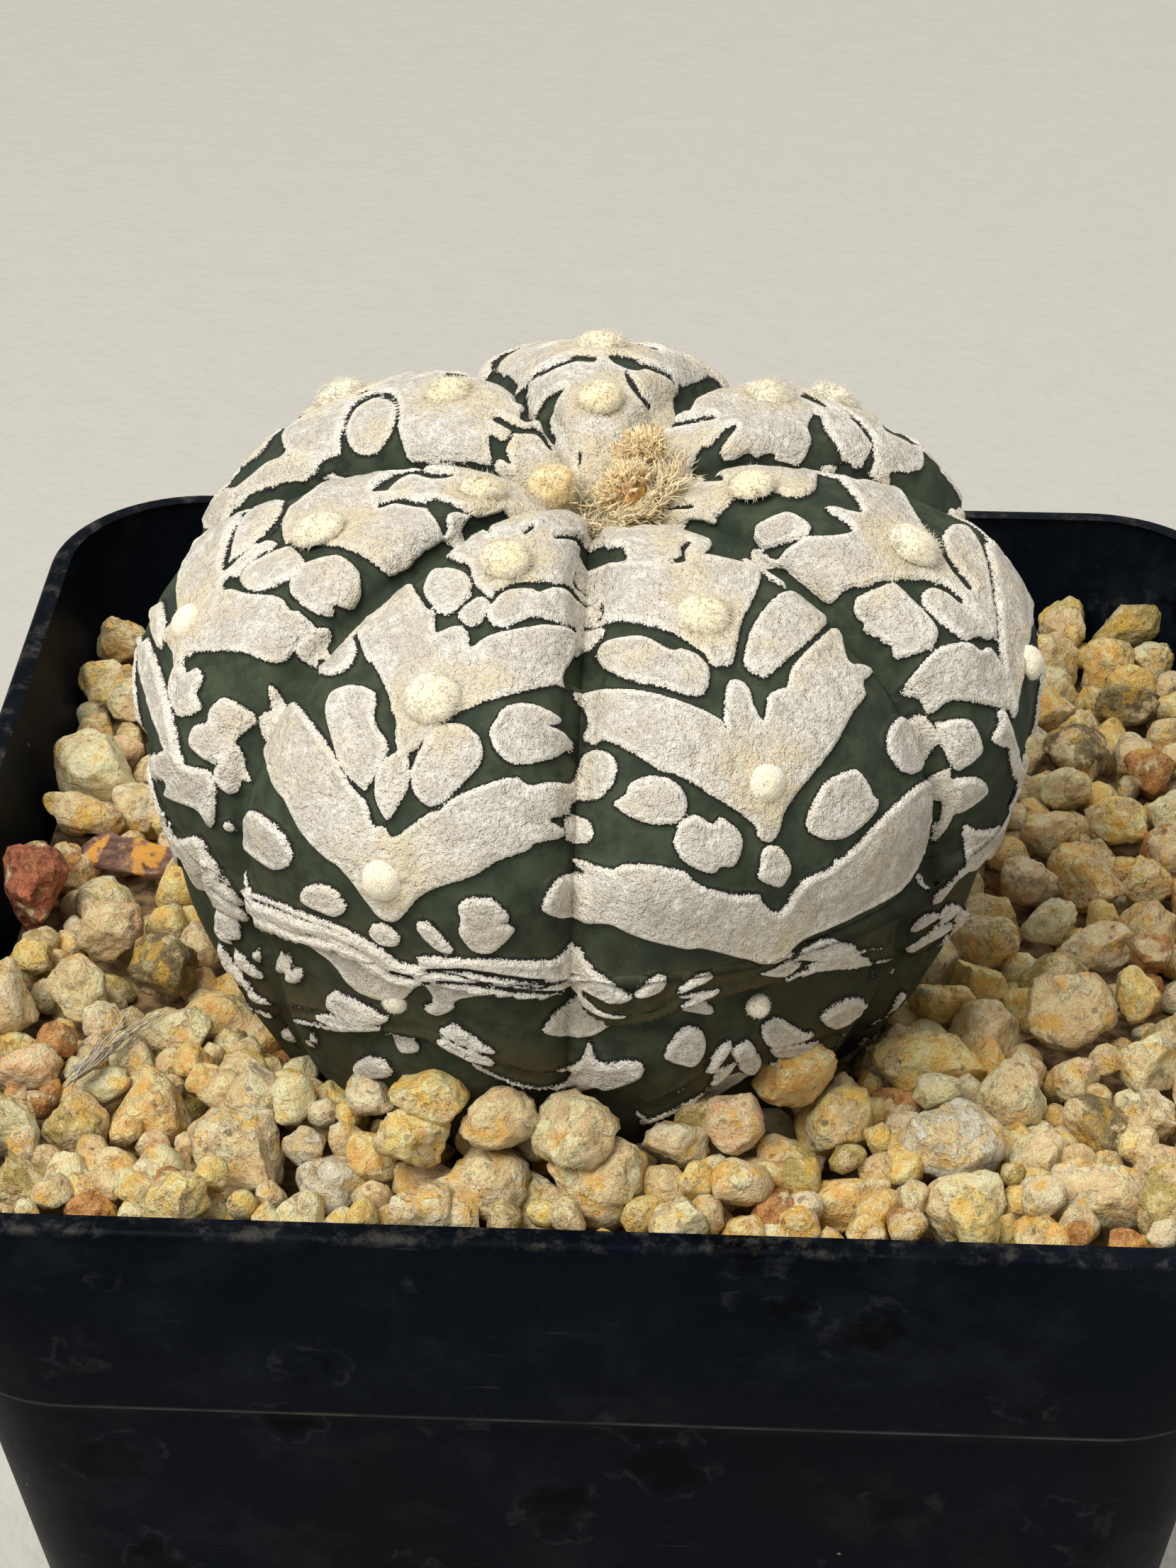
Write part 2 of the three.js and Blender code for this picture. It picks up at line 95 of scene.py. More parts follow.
FURROW_DEPTHS = np.array([[0, 0.03], [25, 0.085], [60, 0.08], [90, 0.07], [130, 0.05], [180, 0]])

# Areoles down each rib: angle from the top in degrees and radius
AREOLES = [
    [[26.6, 1.1], [45, 1.2], [63.6, 1.35], [79, 0.9]],
    [[33.4, 1.15], [53.8, 1.25], [71, 1], [81.4, 0.8]],
    [[20.1, 1.05], [40.2, 1.25], [59, 1.2], [78.4, 0.95]],
    [[31.8, 1.1], [44.5, 1.15], [61, 1.2], [80, 0.9]],
    [[16.3, 1], [31.8, 1.15], [52, 1.25], [80, 0.95]],
    [[26.4, 1.1], [45.6, 1.2], [63, 1.25], [81, 0.9]],
    [[15.5, 1.05], [35.4, 1.2], [52.6, 1.25], [78.3, 1]],
]

# The markings, traced as smooth outlines in the photograph's pixels. A name starts with the ribs
# that the marking lies on: a and b face the camera, g and f follow on the left, and c follows on the right.

# Felt patches
PATCHES = {
    "a_kidney": (
        "460,985 470,972 490,965 512,967 530,980 528,1015 547,1050 543,1068 520,1108 508,1112 479,1078 "
        "458,1010"
    ),
    "a_teardrop": (
        "560,1060 573,1063 578,1085 575,1110 549,1156 539,1150 530,1133 527,1110 533,1085 546,1068"
    ),
    "a_side_oval_1": "328,1050 341,1062 350,1080 349,1100 338,1118 322,1123 308,1112 300,1092 306,1078",
    "a_side_oval_2": (
        "350,1143 370,1150 390,1165 405,1185 411,1205 405,1222 390,1228 370,1222 318,1176 315,1162 "
        "335,1158"
    ),
    "g_double_oval": (
        "293,1002 305,988 320,985 362,1013 336,1040 326,1058 300,1078 268,1056 264,1040 273,1023 "
        "290,1018"
    ),
    "g_three_lobed": (
        "243,941 258,937 262,948 275,941 284,950 283,965 275,979 282,992 279,1004 252,1011 243,999 "
        "236,978"
    ),
    "g_chevron_low": (
        "232,1058 250,1058 262,1080 299,1092 303,1150 298,1168 290,1165 280,1146 233,1125 235,1105 "
        "222,1096 215,1080 219,1065"
    ),
    "a_oval_upper_left": (
        "416,912 431,937 445,947 462,952 478,948 492,938 500,922 501,906 494,896 480,888 462,885 "
        "446,886"
    ),
    "a_chevron_3": (
        "378,968 392,972 425,1000 468,1060 495,1110 515,1130 527,1166 541,1164 554,1181 600,1149 "
        "620,1142 645,1122 700,1101 730,1096 742,1104 757,1107 775,1103 811,1109 801,1148 775,1156 "
        "797,1168 802,1178 790,1184 757,1190 745,1200 700,1216 665,1238 600,1260 564,1297 547,1301 "
        "526,1287 478,1225 461,1214 422,1173 400,1130 385,1110 370,1065 364,1020 372,1005 380,1000"
    ),
    "a_oval_mid": (
        "610,1028 625,1021 645,1019 662,1025 674,1038 681,1055 680,1070 670,1088 640,1118 625,1132 "
        "608,1138 595,1132 583,1118 580,1098 583,1075"
    ),
    "a_notched_right": (
        "700,1012 708,1000 722,992 742,990 762,995 795,1012 790,1020 774,1022 800,1032 808,1042 "
        "807,1055 780,1070 728,1078 700,1060 690,1032"
    ),
    "b_oval_left": "822,1060 840,1056 858,1062 868,1075 869,1092 862,1108 850,1120 838,1127 812,1126",
    "b_oval_left_2": (
        "863,1135 880,1122 885,1110 895,1100 912,1094 930,1094 948,1100 962,1112 970,1130 968,1145 "
        "958,1157 945,1163 905,1160"
    ),
    "b_small_furrow": "802,1152 815,1150 825,1156 833,1170 830,1183 820,1191 808,1190 802,1182",
    "a_chevron_2": (
        "497,871 519,869 533,861 552,823 564,816 578,821 600,855 613,863 614,890 636,882 650,882 "
        "661,893 663,911 692,894 750,882 778,880 819,894 797,955 807,971 790,966 770,968 680,990 "
        "625,1018 588,1055 575,1063 561,1060 556,1035 558,1015 550,1000 547,980 525,935 515,928"
    ),
    "a_oval_top": (
        "600,815 610,802 628,799 648,803 660,812 665,825 662,840 638,863 626,866 612,858 602,845 "
        "596,830"
    ),
    "a_small_top": "645,868 650,858 672,841 685,843 692,852 680,876 668,882 655,880",
    "a_double_long": (
        "690,855 712,832 748,828 760,833 775,828 795,828 825,845 835,858 837,868 828,878 815,883 "
        "755,870 720,882 700,883 690,875 686,865"
    ),
    "b_sliver": "820,890 832,882 845,883 848,892 820,920 800,945 801,932",
    "a_chevron_1": (
        "640,772 632,735 640,725 655,723 668,730 694,759 725,742 738,740 744,749 755,742 768,741 "
        "780,748 786,757 825,765 832,775 813,818 828,830 840,848 843,862 837,860 825,840 805,825 "
        "780,821 745,819 720,824 700,834 692,844 669,822 662,800 650,790"
    ),
    "b_chevron_1": (
        "817,815 822,803 835,794 894,790 932,796 966,790 985,780 1070,797 1064,842 1047,875 1035,932 "
        "1021,938 1004,937 997,925 983,913 949,892 907,880 870,875 835,881 845,868 846,855 836,836 "
        "822,825"
    ),
    "b_oval_1": (
        "837,925 845,909 866,899 897,895 918,899 945,914 963,913 983,921 999,937 1002,951 997,973 "
        "987,980 966,980 932,968 887,959 863,949 845,938"
    ),
    "b_oval_2": (
        "1049,930 1061,883 1090,844 1111,832 1132,832 1152,845 1166,863 1166,880 1087,950 1070,952 "
        "1056,945"
    ),
    "b_chevron_2": (
        "813,977 835,970 908,973 973,992 1008,1008 1021,1018 1023,1028 1021,1008 1025,968 1035,957 "
        "1049,961 1059,973 1063,990 1077,1016 1083,983 1097,971 1111,966 1121,935 1176,883 1188,888 "
        "1199,931 1218,935 1235,944 1223,956 1220,966 1223,980 1202,1008 1176,1056 1114,1135 1100,1176 "
        "1084,1189 1070,1180 1056,1156 959,1095 935,1089 894,1063 856,1045 842,1045 825,1052 823,1035 "
        "828,1015 824,995"
    ),
    "b_oval_3": (
        "950,1190 955,1170 962,1158 972,1151 985,1150 1005,1163 1012,1155 1022,1154 1045,1175 1048,1195 "
        "1037,1222 1018,1223 1012,1230 1000,1233 970,1220 958,1208"
    ),
    "b_small_tip": (
        "1072,1225 1075,1205 1080,1196 1090,1192 1102,1196 1112,1210 1118,1225 1112,1240 1100,1253 "
        "1070,1240"
    ),
    "b_right_oval": (
        "1137,1162 1160,1110 1185,1092 1200,1086 1213,1087 1230,1110 1233,1122 1242,1130 1232,1152 "
        "1195,1182 1160,1184"
    ),
    "b_right_round": (
        "1252,1045 1255,1030 1265,1015 1280,1005 1298,1004 1322,1030 1326,1045 1308,1080 1292,1091 "
        "1275,1088 1262,1075 1254,1060"
    ),
    "b_chevron_3": (
        "808,1212 858,1226 890,1218 962,1228 985,1248 1035,1262 1070,1262 1078,1275 1100,1287 1130,1245 "
        "1172,1225 1180,1212 1195,1205 1278,1121 1330,1088 1340,1086 1344,1105 1347,1150 1318,1200 "
        "1298,1220 1270,1258 1198,1300 1140,1325 1122,1337 1112,1350 1085,1362 995,1340 970,1340 "
        "930,1332 890,1320 860,1305 820,1306 815,1300 828,1270 826,1250 822,1235"
    ),
    "ab_knot": "765,1275 778,1250 790,1240 818,1232 826,1240 829,1255 828,1270 815,1300 772,1290",
    "b_slim_1": "1125,1350 1135,1340 1168,1326 1200,1333 1210,1338 1200,1345 1145,1352",
    "b_slim_2": "1260,1325 1270,1312 1308,1293 1322,1290 1325,1298 1265,1335",
    "b_c_patch": "1290,1332 1310,1322 1325,1308 1330,1290 1340,1277 1355,1278 1362,1288 1300,1335",
    "c_fold_strip": (
        "1318,1278 1322,1262 1350,1238 1370,1205 1362,1175 1372,1182 1379,1200 1380,1220 1352,1245 "
        "1328,1275"
    ),
    "b_tier_patch_1": (
        "1076,1462 1080,1448 1092,1440 1108,1442 1135,1458 1152,1460 1140,1470 1100,1478 1085,1478"
    ),
    "b_tier_patch_2": "1160,1440 1170,1425 1200,1410 1235,1410 1240,1415 1230,1430 1195,1450 1178,1455",
    "b_tier_patch_3": "1232,1392 1236,1375 1245,1365 1258,1360 1265,1368 1262,1380 1250,1390",
    "b_tier_patch_4": "1135,1385 1140,1370 1155,1362 1195,1352 1190,1362",
    "b_tier_oval": "937,1490 955,1460 970,1451 985,1452 994,1462 997,1480 990,1498 975,1508 945,1500",
    "b_tier_slim": "996,1515 1010,1485 1030,1470 1033,1480 1025,1495 1003,1518",
    "b_tier_round": "1033,1488 1040,1478 1055,1470 1065,1478 1067,1490 1055,1502 1042,1500",
    "b_low_patch": "1112,1510 1118,1498 1135,1488 1180,1487 1175,1498 1155,1508 1130,1513",
    "b_low_band": (
        "905,1575 955,1553 975,1535 1015,1515 1040,1512 1060,1502 1080,1498 1085,1508 990,1560 915,1590"
    ),
    "ab_star_upper": "765,1455 820,1410 832,1422 850,1430 892,1438 870,1445 840,1462 815,1467",
    "b_fold_strip": (
        "870,1436 895,1440 960,1412 985,1410 1010,1430 995,1435 950,1429 930,1432 905,1443 885,1445"
    ),
    "b_oval_low": "893,1405 915,1383 930,1377 940,1380 938,1395 925,1405 905,1410",
    "b_oval_low_2": "957,1405 962,1392 975,1382 990,1375 1003,1375 1005,1382",
    "b_pinch": (
        "803,1345 811,1338 835,1368 888,1403 890,1412 875,1418 855,1415 820,1400 805,1388 800,1370"
    ),
    "a_chevron_4_right": (
        "590,1362 600,1351 770,1357 803,1343 803,1370 808,1390 820,1400 775,1405 750,1402 650,1412 "
        "640,1425 620,1437 605,1435 595,1425 610,1412 590,1385"
    ),
    "a_chevron_4_left": (
        "282,1215 300,1238 370,1277 520,1330 562,1360 592,1368 592,1385 560,1418 515,1408 495,1395 "
        "450,1347 400,1325 360,1300 330,1295 300,1280 288,1262"
    ),
    "g_low_patch": "237,1192 250,1186 282,1182 298,1222 310,1240 300,1262 265,1250",
    "g_tier_patch": "298,1302 300,1285 325,1298 335,1312 335,1328 322,1330 310,1325 300,1315",
    "ag_fold_rim": "302,1325 370,1378 373,1386 355,1383 335,1370 315,1352",
    "a_tier_oval_1": "353,1355 360,1342 375,1337 392,1340 405,1352 410,1365 402,1373 385,1377",
    "a_tier_tiny": "400,1378 408,1368 420,1368 425,1378 418,1388 405,1387",
    "a_oval_low_1": "421,1265 430,1252 448,1247 465,1252 480,1265 487,1280 480,1292 465,1295 430,1278",
    "a_oval_low_2": "518,1318 525,1305 540,1303 555,1312 564,1328 555,1337 540,1336 528,1330",
    "a_oval_low_3": "587,1303 600,1300 615,1312 638,1340 632,1348 615,1342 590,1318",
    "a_notched_low": (
        "648,1275 660,1268 680,1266 700,1272 720,1297 704,1302 718,1304 727,1315 700,1342 685,1348 "
        "668,1345 655,1332 646,1315 650,1300 646,1288"
    ),
    "a_tier_oval_2": "457,1412 465,1403 480,1403 540,1437 495,1441 470,1433 458,1424",
    "ag_tier_patch": "318,1385 325,1372 340,1380 352,1395 362,1408 350,1415 335,1405",
    "a_low_patch": "455,1440 495,1445 492,1458 480,1460",
    "a_low_patch_2": "548,1448 585,1455 582,1470 590,1485 575,1490 560,1485 550,1465",
    "a_low_oval": "391,1465 400,1455 415,1450 430,1455 442,1465 444,1482 435,1492 420,1488 410,1475",
    "a_low_square": "346,1433 355,1423 370,1423 370,1438 355,1440",
    "a_low_oval_2": "495,1510 505,1498 520,1493 535,1497 548,1507 550,1520 530,1525 505,1525",
    "a_slim_cream": "620,1460 630,1452 645,1450 690,1480 698,1490 680,1488 660,1482",
    "ab_low_band": (
        "665,1502 690,1500 745,1518 775,1518 815,1500 828,1472 842,1498 860,1502 885,1498 905,1503 "
        "908,1515 895,1528 855,1540 840,1535 820,1541 770,1533 740,1537 715,1532 672,1514"
    ),
    "c_chevron_2": (
        "1085,812 1100,782 1125,762 1140,755 1203,748 1165,716 1180,712 1216,720 1186,677 1160,659 "
        "1178,661 1212,676 1240,665 1255,670 1268,680 1302,735 1352,810 1368,828 1400,897 1385,885 "
        "1356,848 1335,832 1300,818 1245,819 1225,827 1205,828 1190,833 1160,856 1128,829 1090,817"
    ),
    "c_long_oval": (
        "1301,838 1310,829 1322,828 1338,834 1380,870 1402,897 1392,902 1380,898 1355,900 1310,861 "
        "1302,850"
    ),
    "c_fan": (
        "1204,862 1205,850 1212,840 1255,822 1270,826 1322,882 1318,910 1310,916 1265,930 1255,910 "
        "1242,908 1240,900 1215,892 1218,880 1208,872"
    ),
    "c_right_long": (
        "1332,765 1333,750 1345,738 1358,738 1372,746 1390,778 1404,850 1408,900 1400,897 1360,835"
    ),
    "c_top_oval": (
        "1162,594 1161,579 1173,576 1190,582 1208,591 1220,603 1226,618 1226,638 1214,653 1200,652 "
        "1188,640"
    ),
    "c_vertical": (
        "1375,702 1385,708 1395,705 1405,712 1412,735 1440,765 1448,785 1457,830 1458,860 1445,950 "
        "1434,1005 1425,1000 1412,925 1402,820"
    ),
    "c_edge_oval": "1463,885 1468,870 1478,857 1490,853 1503,860 1500,890 1494,915 1480,935 1465,905",
    "c_edge_sliver": (
        "1440,745 1462,757 1472,768 1494,808 1500,830 1478,812 1470,800 1468,785 1460,770 1450,762"
    ),
    "c_chevron_3": (
        "1275,968 1318,918 1340,908 1360,905 1375,908 1385,917 1395,912 1405,918 1425,960 1436,1000 "
        "1432,1015 1425,1004 1415,1000 1345,988 1312,1009 1290,975"
    ),
    "c_oval_low": "1319,1026 1330,1018 1362,1014 1375,1022 1388,1055 1380,1070 1365,1082 1345,1085",
    "c_right_lump": (
        "1408,1003 1420,1005 1440,1060 1442,1085 1438,1098 1430,1095 1425,1058 1415,1055 1400,1042 "
        "1410,1020"
    ),
    "c_furrow_patch": "1345,1105 1355,1098 1370,1096 1385,1100 1395,1112 1392,1125 1350,1150",
    "c_fold_bottom": "1360,1168 1380,1172 1400,1170 1420,1162 1430,1146 1430,1165 1372,1232",
    "bc_sliver": "1250,952 1275,970 1290,975 1296,985 1285,985 1270,978",
    "c_oval_top": (
        "1063,752 1068,738 1100,722 1115,720 1140,735 1145,745 1135,756 1085,773 1070,772 1062,762"
    ),
    "g_edge_oval_1": (
        "207,775 212,755 222,745 235,740 244,745 247,785 243,805 232,822 222,826 210,820 206,800"
    ),
    "g_edge_oval_2": "205,828 215,822 222,828 232,865 232,885 230,900 222,915 208,880",
    "g_edge_strip": "184,850 196,870 226,948 246,1025 250,1058 232,1058 208,1000 186,920 180,880",
    "g_chevron_3": (
        "232,905 229,893 236,880 248,872 246,825 253,785 276,735 302,702 318,692 334,691 358,668 "
        "324,757 313,800 321,798 358,765 374,760 390,764 380,775 362,784 335,812 322,812 316,820 "
        "316,832 325,829 350,836 392,840 410,860 422,862 450,892 425,903 410,925 398,933 380,934 "
        "340,919 295,918 272,921 243,941 243,925"
    ),
    "g_oval_a": "336,815 345,800 360,787 400,769 415,774 430,795 405,818 372,831 355,832 343,826",
    "g_oval_b": "323,783 333,745 362,700 378,692 392,692 400,702 400,718 385,745 325,790",
    "g_oval_c": "360,692 363,678 372,665 408,645 455,638 475,640 445,655 415,680",
    "g_oval_d": (
        "408,830 410,812 432,790 468,781 485,785 500,798 508,812 512,855 516,868 500,866 472,852 "
        "472,868 455,868 440,862 413,842"
    ),
    "crown_small_oval": "879,770 890,760 940,756 955,762 961,774 955,786 905,791 885,784",
    "c_top_felt": "1236,605 1288,624 1302,634 1304,650 1300,662 1270,667 1240,663",
    "c_edge_felt": "1327,640 1378,690 1386,680 1370,655 1350,640 1335,632",
    "f_edge_felt": (
        "246,735 258,714 276,705 292,668 303,664 318,648 330,650 352,648 378,622 378,608 340,610 "
        "300,640 245,710"
    ),
    "g_top_felt": (
        "270,740 280,712 316,684 330,686 370,655 400,642 420,644 445,648 440,660 425,675 388,692 "
        "360,695 345,712 330,745"
    ),
    "f_oval": "487,608 492,590 505,572 525,562 542,560 555,570 558,590 538,634 520,642 503,640 492,628",
}

# The felt that covers the stem's top, which the gaps and dark lines below break up
FELT_ZONES = {
    "upper_zone": (
        "400,598 455,578 500,545 560,500 700,440 850,420 1000,430 1120,460 1200,520 1245,590 1240,662 "
        "1215,676 1180,662 1155,660 1150,690 1120,700 1060,690 1010,730 1000,775 920,800 860,800 "
        "820,812 760,790 700,800 640,790 620,780 562,817 500,778 440,764 402,766 400,720 440,690 "
        "460,665 478,650 445,646 410,641 397,622"
    ),
}

# Bare skin inside the upper zone, left and right of the crown
GAPS = {
    "left_round": (
        "482,640 480,618 490,582 503,566 520,556 545,554 560,564 563,590 560,602 567,630 566,650 "
        "552,655 542,648 538,640 525,648 505,652 488,648"
    ),
    "left_slit_upper": "678,508 705,488 748,476 765,478 745,483 710,502 697,514",
    "left_slit_inner": "735,582 797,545 751,592",
    "left_slit_middle": "690,612 706,620 716,617 722,606 727,606 720,620 714,635 721,655 705,646 695,650",
    "left_wedge_outer": (
        "482,643 455,646 445,652 425,672 405,682 400,698 410,700 428,690 438,675 452,665 478,654"
    ),
    "left_wedge_middle": "525,688 582,655 600,665 640,668 612,674 580,668 550,684 545,692",
    "left_wedge_front": (
        "600,709 618,703 640,712 668,727 696,758 672,735 645,720 630,730 641,772 632,772 620,740"
    ),
    "left_wedge_low": (
        "402,766 440,764 500,778 545,808 550,818 540,850 520,868 505,800 480,782 445,782 425,790"
    ),
    "right_inner": "975,675 988,632 1003,627 1022,605 1040,600 1018,630 1012,662 1018,676",
    "right_outer": (
        "1140,600 1147,585 1156,584 1164,603 1199,653 1214,654 1226,641 1234,628 1237,661 1212,676 "
        "1143,656 1141,638 1146,620"
    ),
    "back_right": "917,483 937,479 973,492 1020,501 1042,517 999,523 982,500 955,490",
    "back_middle": "858,503 885,501 912,516 890,520",
    "back_furrow": "883,520 905,553 932,580 945,586 938,593 890,545",
    "crown_front": "815,815 822,798 833,783 848,773 880,770 880,789 845,791 830,800",
    "crown_right": "960,770 975,765 966,776 965,790 950,790",
}

# Thin dark lines in the felt; each starts with its width in pixels
DARK_LINES = {
    "left_top": "5: 525,528 600,500 635,498 645,503",
    "left_over_areole": "6: 632,528 680,528 715,542 731,563",
    "left_inner_upper": "5: 730,565 742,538 775,519 812,504",
    "left_inner_end": "8: 812,503 838,505",
    "left_inner_lower": "8: 700,590 730,605 760,609 778,630",
    "left_by_crown": "5: 817,638 812,668",
    "left_outer_edge": "6: 428,690 403,706 399,722 376,752 364,762",
    "left_middle_edge": "6: 535,712 560,706 600,711 617,709",
    "right_from_back": "5: 912,516 948,533 971,574",
    "right_arch_inner": "4: 978,553 1000,540 1030,538",
    "right_by_flower": "5: 930,602 1007,587",
    "right_arch_tip": "4: 1062,541 1075,541",
    "right_arch_outer": "5: 1075,515 1105,520 1145,532 1195,565",
    "right_outer_edge": "4: 1135,555 1160,570 1200,585 1233,622",
    "right_of_flower": "4: 940,690 975,682",
    "right_of_flower_low": "5: 942,715 975,713",
    "crown_short": "5: 740,750 750,743",
    "crown_curved": "5: 785,757 810,757 830,768",
    "c_notch_a": "6: 1322,757 1341,793 1370,828",
    "c_notch_b": "6: 1300,819 1337,831 1356,847",
    "a_crease": "5: 600,1372 659,1371 723,1382 812,1390",
}

# Thin pale rims along the folds; each starts with its width in pixels
RIM_LINES = {
    "a_fold_rim": "8: 283,1200 317,1243 358,1265 502,1323 543,1358 585,1367",
    "b_fold_rim": "6: 1101,1368 1137,1353 1278,1339 1313,1321 1322,1309",
    "b_fold2_rim": "8: 1083,1492 1142,1480 1210,1458 1254,1439 1272,1412 1294,1397",
    "b_base_strip": "6: 900,1573 938,1558 979,1536",
    "a_fold2_rim": "8: 317,1380 349,1406 390,1421 473,1439 543,1439",
    "g_outer_strip_low": "8: 232,1205 247,1250",
    "g_tier3_rim": "9: 355,1462 367,1462 385,1483 443,1515",
}

# Folds where a bulge of the stem hangs over the next one below, from left to right; each starts with its
# depth in millimetres
FOLDS = {
    "main_left": (
        "0.75: 283,1206 296,1244 317,1272 369,1294 420,1313 463,1321 506,1339 540,1364 583,1377 "
        "626,1377 669,1384 711,1390 754,1394 812,1389"
    ),
    "main_right": (
        "0.95: 812,1400 846,1426 885,1434 924,1426 963,1409 1011,1396 1060,1383 1109,1368 1157,1358 "
        "1206,1351 1254,1344 1293,1332 1332,1307 1366,1278"
    ),
    "second_left": (
        "0.75: 304,1326 326,1369 347,1407 369,1420 411,1431 454,1437 497,1446 540,1448 583,1454 "
        "609,1463 647,1484 690,1501 733,1519 776,1523 814,1514"
    ),
    "second_right": (
        "0.75: 905,1577 963,1550 992,1526 1031,1507 1079,1492 1109,1485 1157,1477 1206,1463 1245,1448 "
        "1269,1429 1293,1405"
    ),
    "third_left": "0.5: 356,1459 381,1476 403,1497 424,1514 441,1519",
}
# A pixel's size on the plant in millimetres, and how many pixels from an outline its distance is worked out
PIXEL = 0.037
REACH_PIXELS = 14
# A fold's edge, the stretch over which it fades out and the bulge above it, in pixels and millimetres
FOLD_EDGE = 7
FOLD_FADE = 45
FOLD_SWELL = 0.3
FOLD_ABOVE = 26


def pixels(text):
    """The pixel places written in an outline's text."""
    return np.array([[float(v) for v in pair.split(",")] for pair in text.split()])


def smooth_path(points, closed):
    """The points with a smooth curve's points between them."""
    count = len(points)
    if closed:
        before, after, beyond = (np.roll(points, step, axis=0) for step in (1, -1, -2))
    else:
        index = np.arange(count)
        before, after, beyond = (points[np.clip(index + step, 0, count - 1)] for step in (-1, 1, 2))
    rows = []
    for share in (0, 0.25, 0.5, 0.75):
        rows.append(catmull_rom(before, points, after, beyond, share))
    path = np.stack(rows, axis=1).reshape(-1, 2)
    return path if closed else path[: 4 * (count - 1) + 1]


def catmull_rom(p0, p1, p2, p3, share):
    """The place this share of the way from the second point to the third on a smooth curve."""
    slope_1 = (p2 - p0) / 2
    slope_2 = (p3 - p1) / 2
    cubic = 2 * p1 - 2 * p2 + slope_1 + slope_2
    square = -3 * p1 + 3 * p2 - 2 * slope_1 - slope_2
    return cubic * share**3 + square * share**2 + slope_1 * share + p1


def path_distance(places, path, closed):
    """Distance of each place from the path and, for a closed one, whether it lies inside."""
    start = path if closed else path[:-1]
    end = np.roll(path, -1, axis=0) if closed else path[1:]
    along = end - start
    nearest = np.full(len(places), np.inf)
    inside = np.zeros(len(places), bool)
    for a, d in zip(start, along):
        offset = places - a
        share = np.clip(offset @ d / max(d @ d, 1e-9), 0, 1)
        gap = offset - share[:, None] * d
        nearest = np.minimum(nearest, np.einsum("ij,ij->i", gap, gap))
        crosses = (offset[:, 1] < 0) != (offset[:, 1] < d[1])
        level = offset[:, 1] * d[0] - offset[:, 0] * d[1]
        inside ^= crosses & ((level > 0) == (d[1] > 0))
    return np.sqrt(nearest), inside


def near_box(places, path):
    """Which places lie in the path's box or within reach of it."""
    low = path.min(axis=0) - REACH_PIXELS
    high = path.max(axis=0) + REACH_PIXELS
    return np.flatnonzero(np.all((places > low) & (places < high), axis=1))


def felt_from_photo(places):
    """How far each photographed place lies inside the white felt, in pixels; below zero is bare skin."""
    felt = np.full(len(places), -float(REACH_PIXELS))

    def inside_by(text):
        path = smooth_path(pixels(text), True)
        near = near_box(places, path)
        distance, inside = path_distance(places[near], path, True)
        return near, np.where(inside, distance, -distance)

    def along(text):
        width, points = text.split(": ")
        path = smooth_path(pixels(points), False)
        near = near_box(places, path)
        distance, _ = path_distance(places[near], path, False)
        return near, float(width) / 2 - distance

    for outlines, measure, adds in (
        (FELT_ZONES, inside_by, True), (GAPS, inside_by, False), (PATCHES, inside_by, True),
        (RIM_LINES, along, True), (DARK_LINES, along, False),
    ):
        for text in outlines.values():
            near, depth = measure(text)
            felt[near] = np.maximum(felt[near], depth) if adds else np.minimum(felt[near], -depth)
    return np.clip(felt, -REACH_PIXELS, REACH_PIXELS)


def folds_from_photo(places):
    """Height of the skin beside each fold, the painted shade under it and how brown above it."""
    height = np.zeros(len(places))
    dark = np.zeros(len(places))
    brown = np.zeros(len(places))
    for text in FOLDS.values():
        depth, points = text.split(": ")
        path = smooth_path(pixels(points), False)
        below = places[:, 1] - np.interp(places[:, 0], path[:, 0], path[:, 1])
        within = ease(places[:, 0] - path[0, 0], -6, 14) * ease(path[-1, 0] - places[:, 0], -6, 14)
        step = ease(below, 0, FOLD_EDGE) * np.exp(-np.maximum(below, 0) / FOLD_FADE)
        swell = FOLD_SWELL * np.exp(-((np.minimum(below, 0) / FOLD_ABOVE) ** 2)) * (below < 0)
        height += float(depth) * within * (swell - step)
        dark = np.maximum(dark, within * np.exp(-(((below - FOLD_EDGE) / (0.8 * FOLD_EDGE)) ** 2)))
        brown = np.maximum(brown, within * np.exp(np.minimum(below, 0) / FOLD_ABOVE) * (below < 2))
    return height, dark, brown


def photographed(points):
    """Pixel places and camera distances of points in millimetres."""
    offset = points - CAMERA_PLACE
    depth = offset @ CAMERA_FORWARD
    across = PHOTO_WIDTH / 2 + FOCAL_PIXELS * (offset @ CAMERA_RIGHT) / depth
    down = PHOTO_HEIGHT / 2 - FOCAL_PIXELS * (offset @ CAMERA_UP) / depth
    return np.stack([across, down], axis=-1), depth


# Noise and meshes


def bumps(points, size, seed):
    """Smooth noise from -1 to 1 whose bumps are about this many millimetres wide."""
    table = np.random.default_rng(seed).uniform(-1, 1, (32, 32, 32))
    scaled = np.asarray(points) / size
    low = np.floor(scaled).astype(int)
    part = scaled - low
    part = part * part * (3 - 2 * part)
    total = 0
    for corner in itertools.product((0, 1), repeat=3):
        weight = np.prod(np.where(corner, part, 1 - part), axis=-1)
        where = (low + corner) % 32
        total = total + weight * table[where[..., 0], where[..., 1], where[..., 2]]
    return total


def ease(value, low, high):
    """0 up to low, 1 from high on and a smooth rise between."""
    share = np.clip((value - low) / (high - low), 0, 1)
    return share * share * (3 - 2 * share)


